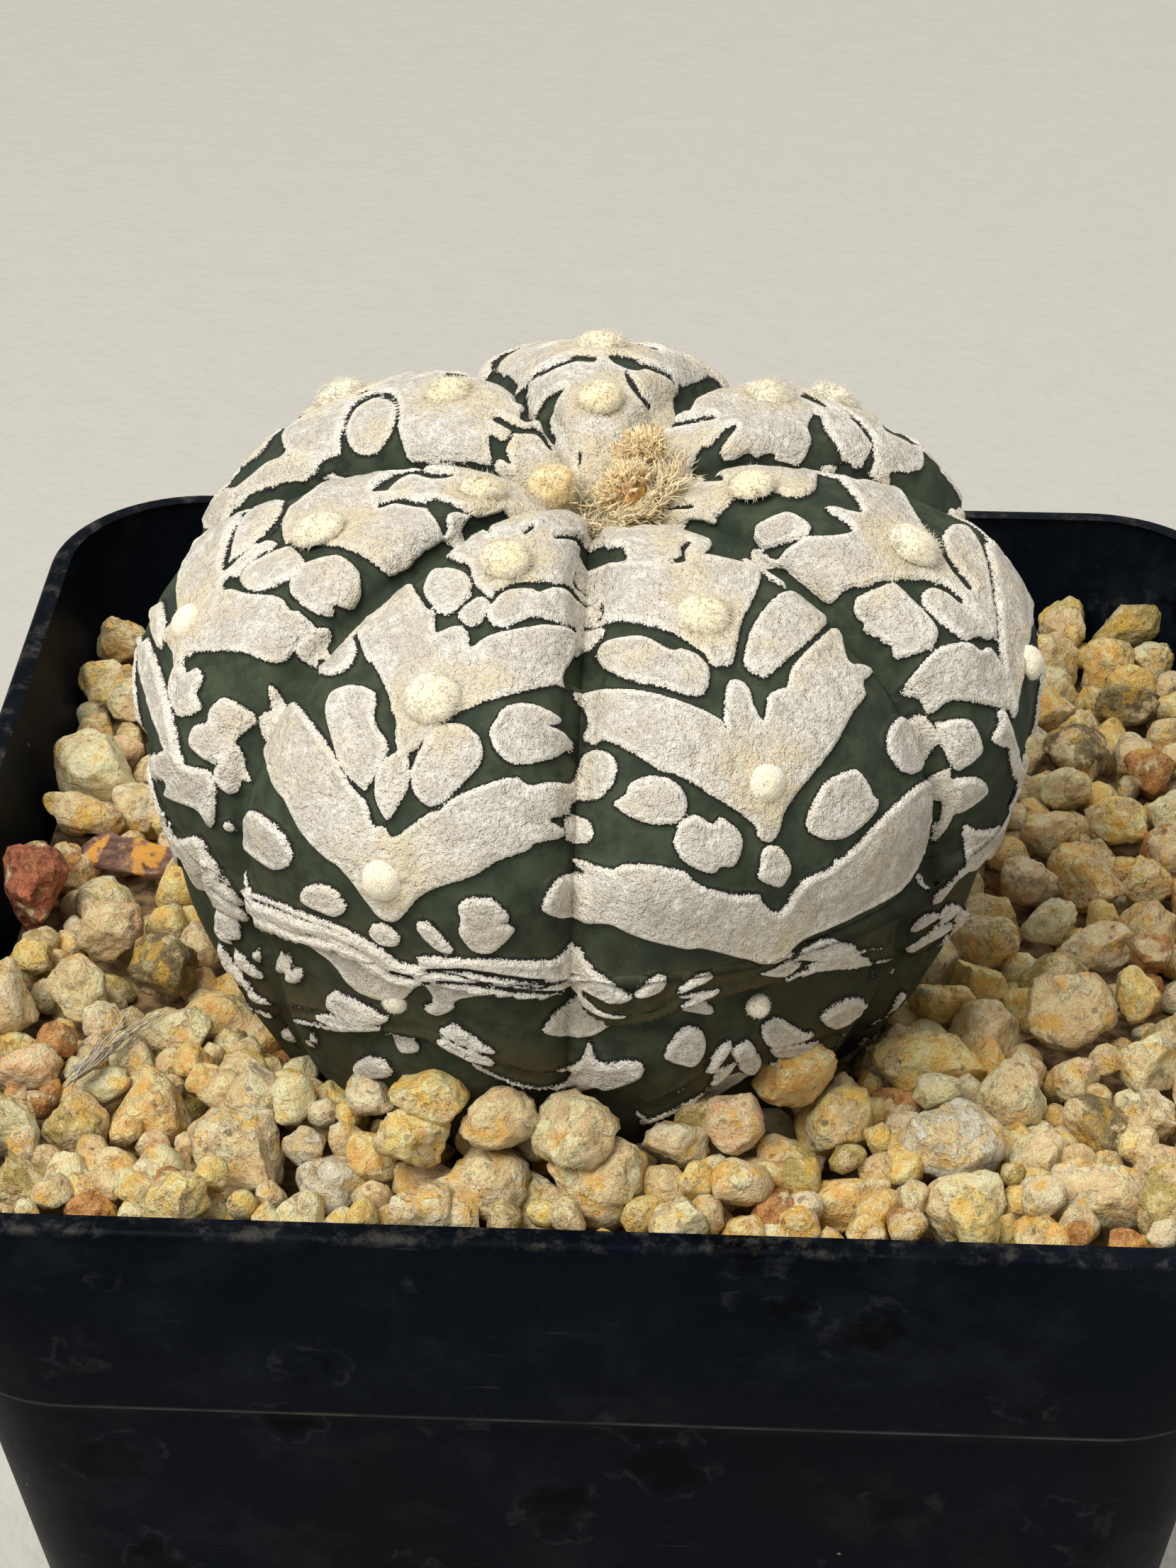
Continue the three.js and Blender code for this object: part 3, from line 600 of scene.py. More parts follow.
def make_piece(name, points, faces, material, values=None, fans=()):
    """A piece from points in millimetres: faces of one number of corners, and triangles that close them."""
    groups = [np.asarray(group, dtype=np.int32) for group in (faces, fans) if len(group)]
    corners = np.concatenate([group.ravel() for group in groups])
    totals = np.concatenate([np.full(len(group), group.shape[1], dtype=np.int32) for group in groups])
    starts = np.concatenate([[0], np.cumsum(totals)[:-1]]).astype(np.int32)
    mesh = bpy.data.meshes.new(name)
    mesh.vertices.add(len(points))
    mesh.vertices.foreach_set("co", (np.asarray(points, dtype=np.float32) / 1000).ravel())
    mesh.loops.add(len(corners))
    mesh.loops.foreach_set("vertex_index", corners)
    mesh.polygons.add(len(totals))
    mesh.polygons.foreach_set("loop_start", starts)
    mesh.polygons.foreach_set("loop_total", totals)
    mesh.polygons.foreach_set("use_smooth", np.ones(len(totals), bool))
    mesh.update(calc_edges=True)
    mesh.validate()
    for key, data in (values or {}).items():
        layer = mesh.attributes.new(key, "FLOAT", "POINT")
        layer.data.foreach_set("value", np.asarray(data, dtype=np.float32))
    mesh.materials.append(material)
    piece = bpy.data.objects.new(name, mesh)
    bpy.context.scene.collection.objects.link(piece)
    return piece


def hand_over(piece, slot, *replaced):
    """Fixes a piece to the object's one body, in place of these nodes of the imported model."""
    if replaced:
        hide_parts(*replaced)
    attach(piece, "root")


# The stem's surface


def dense_crest():
    """CREST as a smooth curve of many points."""
    count = len(CREST)
    places = np.linspace(0, count - 1, 6001)
    index = np.minimum(places.astype(int), count - 2)
    picks = [CREST[np.clip(index + step, 0, count - 1)] for step in (-1, 0, 1, 2)]
    return catmull_rom(*picks, (places - index)[:, None])


crest_points = dense_crest()
crest_angles = np.degrees(np.arctan2(crest_points[:, 0], crest_points[:, 1]))
crest_reach = np.hypot(crest_points[:, 0], crest_points[:, 1])
crest_length = np.concatenate([[0], np.cumsum(np.hypot(*np.diff(crest_points, axis=0).T))])


def turn_of(around):
    """The direction of a place: a whole number is a rib's crest, a half is the furrow after it."""
    rib = np.round(around).astype(int)
    across = 2 * (around - rib)
    here = rib % RIBS
    whole_turns = 360 * ((rib - here) // RIBS)
    before = np.where(here > 0, FURROW_TURNS[here - 1], FURROW_TURNS[-1] - 360)
    edge = np.where(across >= 0, FURROW_TURNS[here], before)
    return whole_turns + CREST_TURNS[here] + np.abs(across) * (edge - CREST_TURNS[here])


def stem_points(around, angle, lift=0):
    """Places on the stem, from the rib they lie on and their angle from its top, moved out by lift."""
    rib = np.round(around).astype(int)
    across = 2 * (around - rib)
    here = rib % RIBS
    beside = (here + np.where(across >= 0, 1, RIBS - 1)) % RIBS
    size = RIB_SIZES[here] + (RIB_SIZES[beside] - RIB_SIZES[here]) * np.abs(across) / 2
    depth = np.interp(angle, *FURROW_DEPTHS.T)
    cut = 1 - depth * np.abs(across) ** RIB_FLATNESS
    reach = np.interp(angle, crest_angles, crest_reach) * size * cut + lift
    down = np.radians(angle)
    turn = np.radians(turn_of(around))
    x = BREADTH * reach * np.sin(down) * np.cos(turn)
    y = reach * np.sin(down) * np.sin(turn)
    z = reach * np.cos(down)
    return np.stack([PLANT[0] + x + LEAN_X * z, PLANT[1] + y + LEAN_Y * z, PLANT[2] + z], axis=-1)


def around_of(turn):
    """The place whose direction is this turn in degrees."""
    table = np.linspace(-RIBS, 2 * RIBS, 9001)
    return np.interp(turn, turn_of(table), table)


def crown_place(x, y, lift=0):
    """A point over the crown, given as millimetres from the stem's axis."""
    distance = math.hypot(x, y)
    around = around_of(math.degrees(math.atan2(y, x)))
    angles = np.linspace(0, 40, 401)
    spread = np.interp(angles, crest_angles, crest_reach) * np.sin(np.radians(angles))
    angle = np.interp(distance, spread, angles)
    return stem_points(np.array([around]), np.array([angle]), lift)[0]


# The stem

# The direction of the camera in degrees, the grid's size and the angle from the top where it ends
FRONT_TURN = -86
STEM_COLUMNS = 560
STEM_ROWS = 305
LAST_ANGLE = 128
BURIED_ANGLE = 104
# Rows of CREST above and below each fold of the general profile
FOLD_SPANS = ((7, 12), (12, 16))
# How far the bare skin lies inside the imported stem, and how far the felt stands over it above and below
SKIN_DEPTH = 0.56
FELT_HEIGHT = 0.3
LOWER_FELT_HEIGHT = 0.38
FURROW_CUT = 0.22
ROUNDING = 0.12
# How far the pieces' inner edges stay under the sunken crown
AXIS_DROP = 0.8
# The stem's pieces, cut along furrows, and the ribs that each one spans
STEM_PARTS = {
    "cactus_ribs_left": (-1.5, 0.5),
    "cactus_ribs_right": (0.5, 2.5),
    "cactus_ribs_back": (2.5, 5.5),
}
# The share of the grid's columns that the two front pieces get for their width, and the back one
FRONT_SHARE = 0.83
FRONT_WIDTH = 205
BACK_SHARE = 0.17


def spread_out(low, high, density, count):
    """This many values from low to high, closer together where the density is greater."""
    fine = np.linspace(low, high, 7201)
    weight = density(fine)
    spread = np.concatenate([[0], np.cumsum((weight[1:] + weight[:-1]) / 2)])
    return np.interp(np.linspace(0, spread[-1], count), spread, fine)


def stem_grid():
    """Places round and down the stem, closer together where the photograph sees them."""
    columns = []
    for low, high in STEM_PARTS.values():
        width = turn_of(np.array([high]))[0] - turn_of(np.array([low]))[0]
        count = round(STEM_COLUMNS * (width / FRONT_WIDTH * FRONT_SHARE if high < 3 else BACK_SHARE))
        turns = spread_out(0, width, lambda turn: np.ones_like(turn), count + 1)[:-1]
        columns.append(around_of(turn_of(np.array([low]))[0] + turns))
    columns = np.concatenate(columns)
    last = np.interp(LAST_ANGLE, crest_angles, crest_length)
    buried = np.interp(BURIED_ANGLE, crest_angles, crest_length)
    lengths = spread_out(0.2, last, lambda down: 1 - 0.7 * ease(down, buried, buried + 3), STEM_ROWS)
    rows = np.interp(lengths, crest_length, crest_angles)
    return np.meshgrid(columns, rows)


def fold_filling(angle):
    """How much the general profile falls short of a straight line over its two folds."""
    filling = np.zeros(angle.shape)
    for top, foot in FOLD_SPANS:
        ends = CREST[[top, foot]]
        angles = np.degrees(np.arctan2(ends[:, 0], ends[:, 1]))
        straight = np.interp(angle, angles, np.hypot(*ends.T))
        short = np.maximum(straight - np.interp(angle, crest_angles, crest_reach), 0)
        filling += np.where((angle > angles[0]) & (angle < angles[1]), short, 0)
    return filling


def grid_normals(points):
    """The outward direction at each point of the grid."""
    down = np.gradient(points, axis=0)
    across = (np.roll(points, -1, axis=1) - np.roll(points, 1, axis=1)) / 2
    normal = np.cross(down, across)
    return normal / np.maximum(np.linalg.norm(normal, axis=-1, keepdims=True), 1e-9)


def soften(values, times):
    """Averages each value with its neighbours round and down the grid."""
    for _ in range(times):
        padded = np.concatenate([values[:1], values, values[-1:]])
        vertical = padded[:-2] + padded[2:]
        sideways = np.roll(values, 1, axis=1) + np.roll(values, -1, axis=1)
        values = (2 * values + vertical + sideways) / 6
    return values


# The width in pixels of the cells that are tested for what hides what, how far behind the nearest point a
# place still counts as seen, and the least that it may face the camera
VIEW_CELL = 9
VIEW_DEPTH = 1.1
LEAST_FACING = 0.06


def seen_by_camera(points, normals):
    """1 where the camera sees the skin, 0 where it is behind a fold or turned away."""
    places, depth = photographed(points)
    cells = np.floor(places / VIEW_CELL).astype(int)
    numbers = cells[..., 1] * 1000 + cells[..., 0]
    order = np.unique(numbers, return_inverse=True)[1].reshape(numbers.shape)
    nearest = np.full(order.max() + 1, np.inf)
    np.minimum.at(nearest, order.ravel(), depth.ravel())
    open_view = depth < nearest[order] + VIEW_DEPTH
    to_camera = CAMERA_PLACE - points
    facing = np.einsum("ijk,ijk->ij", normals, to_camera) / np.linalg.norm(to_camera, axis=-1)
    return (open_view & (facing > LEAST_FACING)).astype(float)


def felt_from_pattern(around, angle):
    """Chevrons under each areole with ovals between, for the ribs that the photograph hides."""
    rib = np.round(around).astype(int)
    here = rib % RIBS
    width = np.interp(angle, crest_angles, crest_reach) * np.sin(np.radians(angle)) * 2 * math.pi / RIBS
    right = (around - rib) * width
    side = np.abs(right)
    length = np.interp(angle, crest_angles, crest_length)
    felt = np.full(around.shape, -1.0)
    for index, row in enumerate(AREOLES):
        mine = here == index
        depths = [np.interp(a, crest_angles, crest_length) for a, _ in row]
        for number, depth in enumerate(depths):
            wobble = 0.5 * math.sin(5 * index + 3 * number)
            line = depth + 0.4 - 0.42 * side + 0.6 * np.sin(1.3 * right + wobble)
            half = 1.9 - 0.09 * side + 0.35 * np.sin(1.9 * right + 4 * wobble)
            band = half - np.abs(length - line)
            band = np.minimum(band, width / 2 - 0.45 - side)
            felt = np.where(mine, np.maximum(felt, band), felt)
        for number, (above, below) in enumerate(zip(depths, depths[1:])):
            middle = (above + below) / 2
            for way in (-1, 1):
                out = way * (3.4 + 1.2 * math.sin(7 * index + 2 * number + way))
                drop = length - middle + 0.32 * (side - 3) + 0.7 * math.sin(index + 9 * number + way)
                oval = 1.6 - np.hypot((right - out) * 0.75, drop)
                felt = np.where(mine, np.maximum(felt, oval), felt)
    return np.maximum(felt, 0.8 * ease(18 - angle, 0, 6) * 2 - 1)


def stem_skin():
    """The skin's grid of places, and the values that its material reads at each."""
    around, angle = stem_grid()
    front = ease(np.cos(np.radians(turn_of(around) - FRONT_TURN)), -0.1, 0.2)
    base = stem_points(around, angle, fold_filling(angle) * front)
    normal = grid_normals(base)
    seen = soften(seen_by_camera(base, normal), 4)
    seen_well = ease(seen, 0.2, 0.8)
    uneven = 0.2 * bumps(base, 5.5, 1) + 0.06 * bumps(base, 1.6, 2) - SKIN_DEPTH

    # The markings are read where the finished skin will be, with its folds
    first_places = photographed(base)[0].reshape(-1, 2)
    sunken = folds_from_photo(first_places)[0].reshape(around.shape) * seen_well
    finished = base + normal * (uneven + sunken + 0.5 * FELT_HEIGHT)[..., None]
    places = photographed(finished)[0].reshape(-1, 2)
    photo = felt_from_photo(places).reshape(around.shape) * PIXEL
    # dark is the painted shade under each fold
    fold, dark, brown = (data.reshape(around.shape) * seen_well for data in folds_from_photo(places))
    pattern = np.clip(felt_from_pattern(around, angle), -0.5, 0.5)
    pattern = pattern + 0.12 * bumps(base, 0.9, 11)
    felt = photo * seen + pattern * (1 - seen)

    ragged = felt + 0.03 * bumps(base, 0.35, 5)
    raised = soften(ease(ragged, -0.05, 0.17), 1)
    felt_height = FELT_HEIGHT + (LOWER_FELT_HEIGHT - FELT_HEIGHT) * ease(angle, 45, 65)
    thick = 0.75 + 0.28 * bumps(base, 2.4, 3) + 0.2 * bumps(base, 0.7, 4)
    rim = np.exp(-(((ragged - 0.2) / 0.12) ** 2))
    under = 0.1 * ease(-felt, 0.02, 0.2)
    reach = np.interp(angle, crest_angles, crest_reach) * np.sin(np.radians(angle))
    to_furrow = (0.5 - np.abs(around - np.round(around))) * reach * 2 * math.pi / RIBS
    furrow = FURROW_CUT * np.exp(-to_furrow / 0.16) + ROUNDING * np.exp(-((to_furrow / 0.9) ** 2))
    shallow = 1 - 0.75 * ease(angle, 76, 86)
    furrow = furrow * ease(angle, 6, 22) * shallow
    height = uneven + raised * felt_height * thick + 0.05 * rim - under - furrow + fold
    values = {
        "felt": felt,
        "stain": stain_near(base, around, angle),
        "depth": angle / 100,
        # Painted shade: dark under the folds and along the furrows
        "crease_shade": np.clip(0.85 * dark + 0.32 * shallow * np.exp(-to_furrow / 0.1), 0, 1),
        "brown": brown,
    }
    return around, base + normal * height[..., None], values


def build_stem():
    around, shape, values = stem_skin()
    skin = skin_material()
    first = 0
    for name, (low, high) in STEM_PARTS.items():
        count = int(np.sum((around[0] > low - 1e-6) & (around[0] < high - 1e-6)))
        columns = np.arange(first, first + count + 1) % around.shape[1]
        first += count
        part_values = {key: data[:, columns] for key, data in values.items()}
        stem = closed_wedge(name, shape[:, columns], part_values, skin)
        hand_over(stem, "stem_skin", "cactus_stem")


def closed_wedge(name, shape, values, material):
    """Part of the stem between two furrows, closed along the stem's axis and at both ends."""
    rows, columns = shape.shape[:2]
    heights = np.minimum.accumulate(shape.mean(axis=1)[:, 2:]) - AXIS_DROP
    axis = np.column_stack([np.tile(PLANT[:2], (rows, 1)), heights])
    points = np.concatenate([shape.reshape(-1, 3), axis])
    down, across = np.meshgrid(np.arange(rows - 1), np.arange(columns - 1), indexing="ij")
    corner = down * columns + across
    outer = np.stack([corner, corner + columns, corner + columns + 1, corner + 1], axis=-1).reshape(-1, 4)
    line = rows * columns + np.arange(rows)
    left = np.arange(rows) * columns
    right = left + columns - 1
    sides = [
        np.stack([left[:-1], line[:-1], line[1:], left[1:]], axis=-1),
        np.stack([right[:-1], right[1:], line[1:], line[:-1]], axis=-1),
    ]
    ring = np.arange(columns - 1)
    base_row = (rows - 1) * columns
    fans = [
        np.stack([np.full_like(ring, line[0]), ring, ring + 1], axis=-1),
        np.stack([np.full_like(ring, line[-1]), base_row + ring + 1, base_row + ring], axis=-1),
    ]
    filled = {key: np.concatenate([data.ravel(), data.mean(axis=1)]) for key, data in values.items()}
    return make_piece(name, points, np.concatenate([outer, *sides]), material, filled, np.concatenate(fans))


def stain_near(base, around, angle):
    """1 where the wool is stained gold: at the areoles, in the furrows and round the crown."""
    stain = np.zeros(around.shape)
    for rib, row in enumerate(AREOLES):
        for middle, radius in row:
            centre = stem_points(np.array([float(rib)]), np.array([middle]))[0]
            distance = np.linalg.norm(base - centre, axis=-1)
            stain = np.maximum(stain, 1 - ease(distance, 0.8 * radius, 3.2 * radius))
    across = 2 * np.abs(around - np.round(around))
    stain = np.maximum(stain, 0.45 * ease(across, 0.86, 1))
    return np.maximum(stain, 0.55 * ease(20 - angle, 0, 12))


# Materials, each from procedural nodes


class Paint:
    """Builds one material's nodes; sizes are in millimetres."""

    def __init__(self, name, roughness=0.8, specular=0.3):
        self.material = bpy.data.materials.new(name)
        self.material.use_nodes = True
        self.tree = self.material.node_tree
        self.tree.nodes.clear()
        self.shader = self.tree.nodes.new("ShaderNodeBsdfPrincipled")
        output = self.tree.nodes.new("ShaderNodeOutputMaterial")
        self.tree.links.new(self.shader.outputs[0], output.inputs["Surface"])
        self.shader.inputs["Roughness"].default_value = roughness
        self.shader.inputs["Specular IOR Level"].default_value = specular
        self.place = self.tree.nodes.new("ShaderNodeTexCoord").outputs["Object"]

    def feed(self, socket, value):
        """Links a socket to a value from a node, or sets it to a colour or number."""
        if isinstance(value, bpy.types.NodeSocket):
            self.tree.links.new(value, socket)
        elif isinstance(value, tuple):
            socket.default_value = (*value, 1)
        else:
            socket.default_value = value

    def sized_place(self, size, stretch=(1, 1, 1)):
        """Places on the object, scaled so that a pattern's features come out this big."""
        mapping = self.tree.nodes.new("ShaderNodeMapping")
        mapping.inputs["Scale"].default_value = [1000 / (size * s) for s in stretch]
        self.feed(mapping.inputs["Vector"], self.place)
        return mapping.outputs[0]

    def noise(self, size, detail=3, rough=0.55, stretch=(1, 1, 1)):
        """Smooth noise with features of about this size."""
        node = self.tree.nodes.new("ShaderNodeTexNoise")
        node.inputs["Scale"].default_value = 1
        node.inputs["Detail"].default_value = detail
        node.inputs["Roughness"].default_value = rough
        self.feed(node.inputs["Vector"], self.sized_place(size, stretch))
        return node.outputs["Fac"]

    def crystals(self, size):
        node = self.tree.nodes.new("ShaderNodeTexVoronoi")
        node.inputs["Scale"].default_value = 1
        self.feed(node.inputs["Vector"], self.sized_place(size))
        return node

    def cells(self, size):
        """The distance from the middle of the nearest cell."""
        return self.crystals(size).outputs["Distance"]

    def grains(self, size):
        """A value of its own for each crystal of about this size."""
        split = self.tree.nodes.new("ShaderNodeSeparateColor")
        self.feed(split.inputs[0], self.crystals(size).outputs["Color"])
        return split.outputs[0]

    def height(self):
        """Height above the pot's foot in millimetres."""
        split = self.tree.nodes.new("ShaderNodeSeparateXYZ")
        self.feed(split.inputs[0], self.place)
        return self.times(split.outputs[2], 1000.0)

    def value(self, name):
        """A value that the mesh's points carry under this name."""
        node = self.tree.nodes.new("ShaderNodeAttribute")
        node.attribute_name = name
        return node.outputs["Fac"]

    def sum(self, kind, first, second):
        node = self.tree.nodes.new("ShaderNodeMath")
        node.operation = kind
        self.feed(node.inputs[0], first)
        self.feed(node.inputs[1], second)
        return node.outputs[0]

    def plus(self, first, second):
        return self.sum("ADD", first, second)

    def times(self, first, second):
        return self.sum("MULTIPLY", first, second)

    def ramp(self, value, low, high, start=0, end=1):
        """From start to end as the value goes from low to high."""
        node = self.tree.nodes.new("ShaderNodeMapRange")
        node.interpolation_type = "SMOOTHSTEP"
        for key, number in (("From Min", low), ("From Max", high), ("To Min", start), ("To Max", end)):
            self.feed(node.inputs[key], number)
        self.feed(node.inputs["Value"], value)
        return node.outputs["Result"]

    def mix(self, share, first, second):
        """The first colour where the share is 0, the second where it is 1."""
        node = self.tree.nodes.new("ShaderNodeMix")
        node.data_type = "RGBA"
        self.feed(node.inputs["Factor"], share)
        self.feed(node.inputs[6], first)
        self.feed(node.inputs[7], second)
        return node.outputs[2]

    def let_light_in(self, share, red, green, blue):
        """Lets this share of the light into the surface, as far as this for each colour."""
        self.shader.inputs["Subsurface Weight"].default_value = share
        self.shader.inputs["Subsurface Radius"].default_value = (red / 1000, green / 1000, blue / 1000)

    def bump(self, height, distance, strength=1.0):
        """Adds relief to the surface, this high at most."""
        node = self.tree.nodes.new("ShaderNodeBump")
        node.inputs["Distance"].default_value = distance / 1000
        node.inputs["Strength"].default_value = strength
        self.feed(node.inputs["Height"], height)
        if self.shader.inputs["Normal"].is_linked:
            self.feed(node.inputs["Normal"], self.shader.inputs["Normal"].links[0].from_socket)
        self.feed(self.shader.inputs["Normal"], node.outputs[0])

    def finish(self, colour):
        self.feed(self.shader.inputs["Base Color"], colour)
        return self.material


def skin_material():
    paint = Paint("stem skin and felt", 0.85, 0.15)
    felt = paint.value("felt")
    stain = paint.value("stain")
    depth = paint.value("depth")
    crease_shade = paint.value("crease_shade")
    fine = paint.noise(0.1, 2, 0.6)
    woolly = paint.noise(0.36, 3, 0.65)
    patchy = paint.noise(1.3, 3, 0.6)
    broad = paint.noise(4.5, 3, 0.6)
    ragged = paint.plus(felt, paint.ramp(fine, 0.3, 0.7, -0.04, 0.04))
    ragged = paint.plus(ragged, paint.ramp(woolly, 0.3, 0.7, -0.025, 0.025))
    white = paint.ramp(ragged, -0.01, 0.014)
    green = paint.mix(paint.ramp(patchy, 0.35, 0.65), (0.030, 0.040, 0.025), (0.054, 0.068, 0.042))
    green = paint.mix(paint.ramp(broad, 0.45, 0.7, 0, 0.6), green, (0.022, 0.040, 0.030))
    brown_share = paint.times(paint.ramp(depth, 0.62, 0.9), paint.ramp(broad, 0.35, 0.6, 0.05, 0.5))
    green = paint.mix(brown_share, green, (0.062, 0.047, 0.024))
    above_fold = paint.times(paint.value("brown"), paint.ramp(patchy, 0.3, 0.65, 0.25, 0.9))
    green = paint.mix(above_fold, green, (0.085, 0.064, 0.026))
    speck = paint.ramp(paint.cells(0.42), 0.0, 0.2, 1, 0)
    speck = paint.times(speck, paint.ramp(woolly, 0.48, 0.6, 0.05, 0.5))
    green = paint.mix(speck, green, (0.17, 0.19, 0.14))
    # Painted shadow: the skin turns near black in a narrow band along each felt patch's edge, where the
    # raised felt casts shade.
    line = paint.times(paint.ramp(ragged, -0.16, -0.04), paint.ramp(patchy, 0.25, 0.6, 0.5, 0.95))
    green = paint.mix(line, green, (0.014, 0.012, 0.012))
    cream = paint.mix(paint.ramp(woolly, 0.36, 0.64), (0.70, 0.67, 0.59), (0.94, 0.92, 0.86))
    inner = paint.times(paint.ramp(ragged, 0.2, 0.42), paint.ramp(patchy, 0.34, 0.6, 0.1, 0.7))
    cream = paint.mix(inner, cream, (0.56, 0.51, 0.43))
    # Painted shade: the felt darkens where the fine fibre noise, which also drives its bump, is low.
    hollow_shade = paint.times(paint.ramp(fine, 0.5, 0.3, 0, 0.45), paint.ramp(ragged, 0.1, 0.3))
    cream = paint.mix(hollow_shade, cream, (0.40, 0.35, 0.28))
    # Painted highlight: a pale band along the felt's raised edge.
    rim = paint.times(paint.ramp(ragged, 0.02, 0.09), paint.ramp(ragged, 0.2, 0.36, 0.5, 0))
    cream = paint.mix(rim, cream, (0.92, 0.88, 0.77))
    gold = paint.times(stain, paint.ramp(patchy, 0.35, 0.65, 0.2, 0.8))
    cream = paint.mix(gold, cream, (0.78, 0.67, 0.44))
    upper = paint.ramp(depth, 0.75, 0.35, 0.35, 0.8)
    yellow = paint.times(paint.ramp(broad, 0.45, 0.64, 0, upper), paint.ramp(woolly, 0.35, 0.6))
    cream = paint.mix(yellow, cream, (0.78, 0.67, 0.44))
    skin = paint.mix(white, green, cream)
    # Painted shade: dark brown under each fold and along the furrows.
    skin = paint.mix(paint.ramp(crease_shade, 0.35, 1, 0, 0.9), skin, (0.045, 0.028, 0.016))
    paint.bump(paint.times(fine, white), 0.14, 0.9)
    paint.bump(paint.times(woolly, white), 0.38, 0.85)
    paint.bump(paint.times(patchy, white), 0.5, 0.6)
    return paint.finish(skin)


def wool_material(name, pale, gold):
    paint = Paint(name, 0.95, 0.1)
    shade = paint.ramp(paint.noise(0.5, 3), 0.35, 0.65)
    tint = paint.times(paint.value("gold"), paint.ramp(paint.noise(0.9, 2), 0.3, 0.65, 0.55, 1))
    colour = paint.mix(shade, tuple(0.9 * c for c in pale), pale)
    colour = paint.mix(tint, colour, gold)
    paint.let_light_in(0.5, 0.8, 0.7, 0.5)
    paint.bump(paint.noise(0.13, 2), 0.1, 0.8)
    return paint.finish(colour)


# Translucent quartz and the crusts on it; each has a colour for the relief's tops and one for its lows,
# painted light and shade
QUARTZ = ((1.0, 0.82, 0.47), (0.80, 0.58, 0.30))
STONE_KINDS = {
    # crust's colours on the relief's tops and in its lows, which paint light and shade, share of crust,
    # roughness, how much light passes
    "gold": ((1.0, 0.80, 0.34), (0.96, 0.62, 0.19), 0.74, 0.42, 0.5),
    "amber": ((1.0, 0.75, 0.33), (0.92, 0.54, 0.17), 0.68, 0.42, 0.5),
    "grey": ((1.0, 0.87, 0.58), (0.84, 0.67, 0.42), 0.45, 0.3, 0.55),
    "cream": ((1.0, 0.90, 0.58), (0.98, 0.79, 0.40), 0.7, 0.5, 0.4),
    "pink": ((1.0, 0.77, 0.48), (0.92, 0.58, 0.30), 0.62, 0.48, 0.4),
    "rust": ((0.80, 0.42, 0.15), (0.48, 0.19, 0.05), 0.72, 0.6, 0.15),
    "white": ((0.92, 0.88, 0.74), (0.78, 0.68, 0.46), 0.62, 0.5, 0.2),
    "olive": ((0.80, 0.62, 0.22), (0.50, 0.38, 0.12), 0.7, 0.45, 0.2),
    "dark": ((0.42, 0.32, 0.13), (0.17, 0.13, 0.06), 0.8, 0.65, 0.0),
    "cinder": ((0.62, 0.21, 0.10), (0.32, 0.09, 0.04), 0.97, 0.85, 0.0),
}


def stone_material(kind):
    light, dark, share, roughness, clear = STONE_KINDS[kind]
    paint = Paint(f"stone {kind}", roughness, 0.5)
    shade = paint.value("shade")
    relief = paint.noise(0.95, 6, 0.62)
    fine = paint.noise(0.35, 4, 0.7)
    # The colours below follow this relief, lighter on its tops and darker in its lows: painted light and
    # shade over the stone's own colours.
    high = paint.plus(paint.times(relief, 0.7), paint.times(fine, 0.3))
    quartz = paint.mix(paint.ramp(high, 0.4, 0.62), QUARTZ[1], QUARTZ[0])
    crust = paint.mix(paint.ramp(high, 0.4, 0.6), dark, light)
    # Painted highlight: cream-white on the relief's tops.
    pale = paint.ramp(high, 0.52, 0.66, 0, 0.85 if kind not in ("cinder", "dark") else 0.25)
    crust = paint.mix(pale, crust, (1.0, 0.89, 0.54) if kind not in ("cinder", "rust") else light)
    patch = paint.plus(paint.noise(2.3, 6, 0.6), paint.times(shade, 0.16))
    edge = 0.5 + 0.22 * (0.5 - share)
    crusted = paint.ramp(patch, edge - 0.03, edge + 0.03)
    colour = paint.mix(crusted, quartz, crust)
    yellow = paint.times(paint.ramp(paint.noise(1.7, 4), 0.54, 0.64), 0.7 if kind != "cinder" else 0.1)
    yellow = paint.times(yellow, paint.ramp(high, 0.62, 0.46))
    colour = paint.mix(yellow, colour, (0.95, 0.56, 0.08))
    # Painted shade in the relief's hollows.
    hollow_shade = paint.ramp(high, 0.43, 0.33, 0, 0.5)
    colour = paint.mix(hollow_shade, colour, (0.60, 0.36, 0.13))
    black = paint.ramp(paint.grains(0.3), 0.985, 0.995, 0, 0.5)
    colour = paint.mix(black, colour, (0.06, 0.045, 0.03))
    paint.let_light_in(clear, 2, 1.2, 0.5)
    rough = paint.ramp(relief, 0.35, 0.65, roughness - 0.12, roughness + 0.15)
    paint.feed(paint.shader.inputs["Roughness"], rough)
    paint.bump(crusted, 0.22, 1)
    paint.bump(relief, 0.95, 1)
    paint.bump(fine, 0.35, 1)
    if kind == "cinder":
        paint.bump(paint.cells(0.8), 0.6, 1)
    return paint.finish(colour)


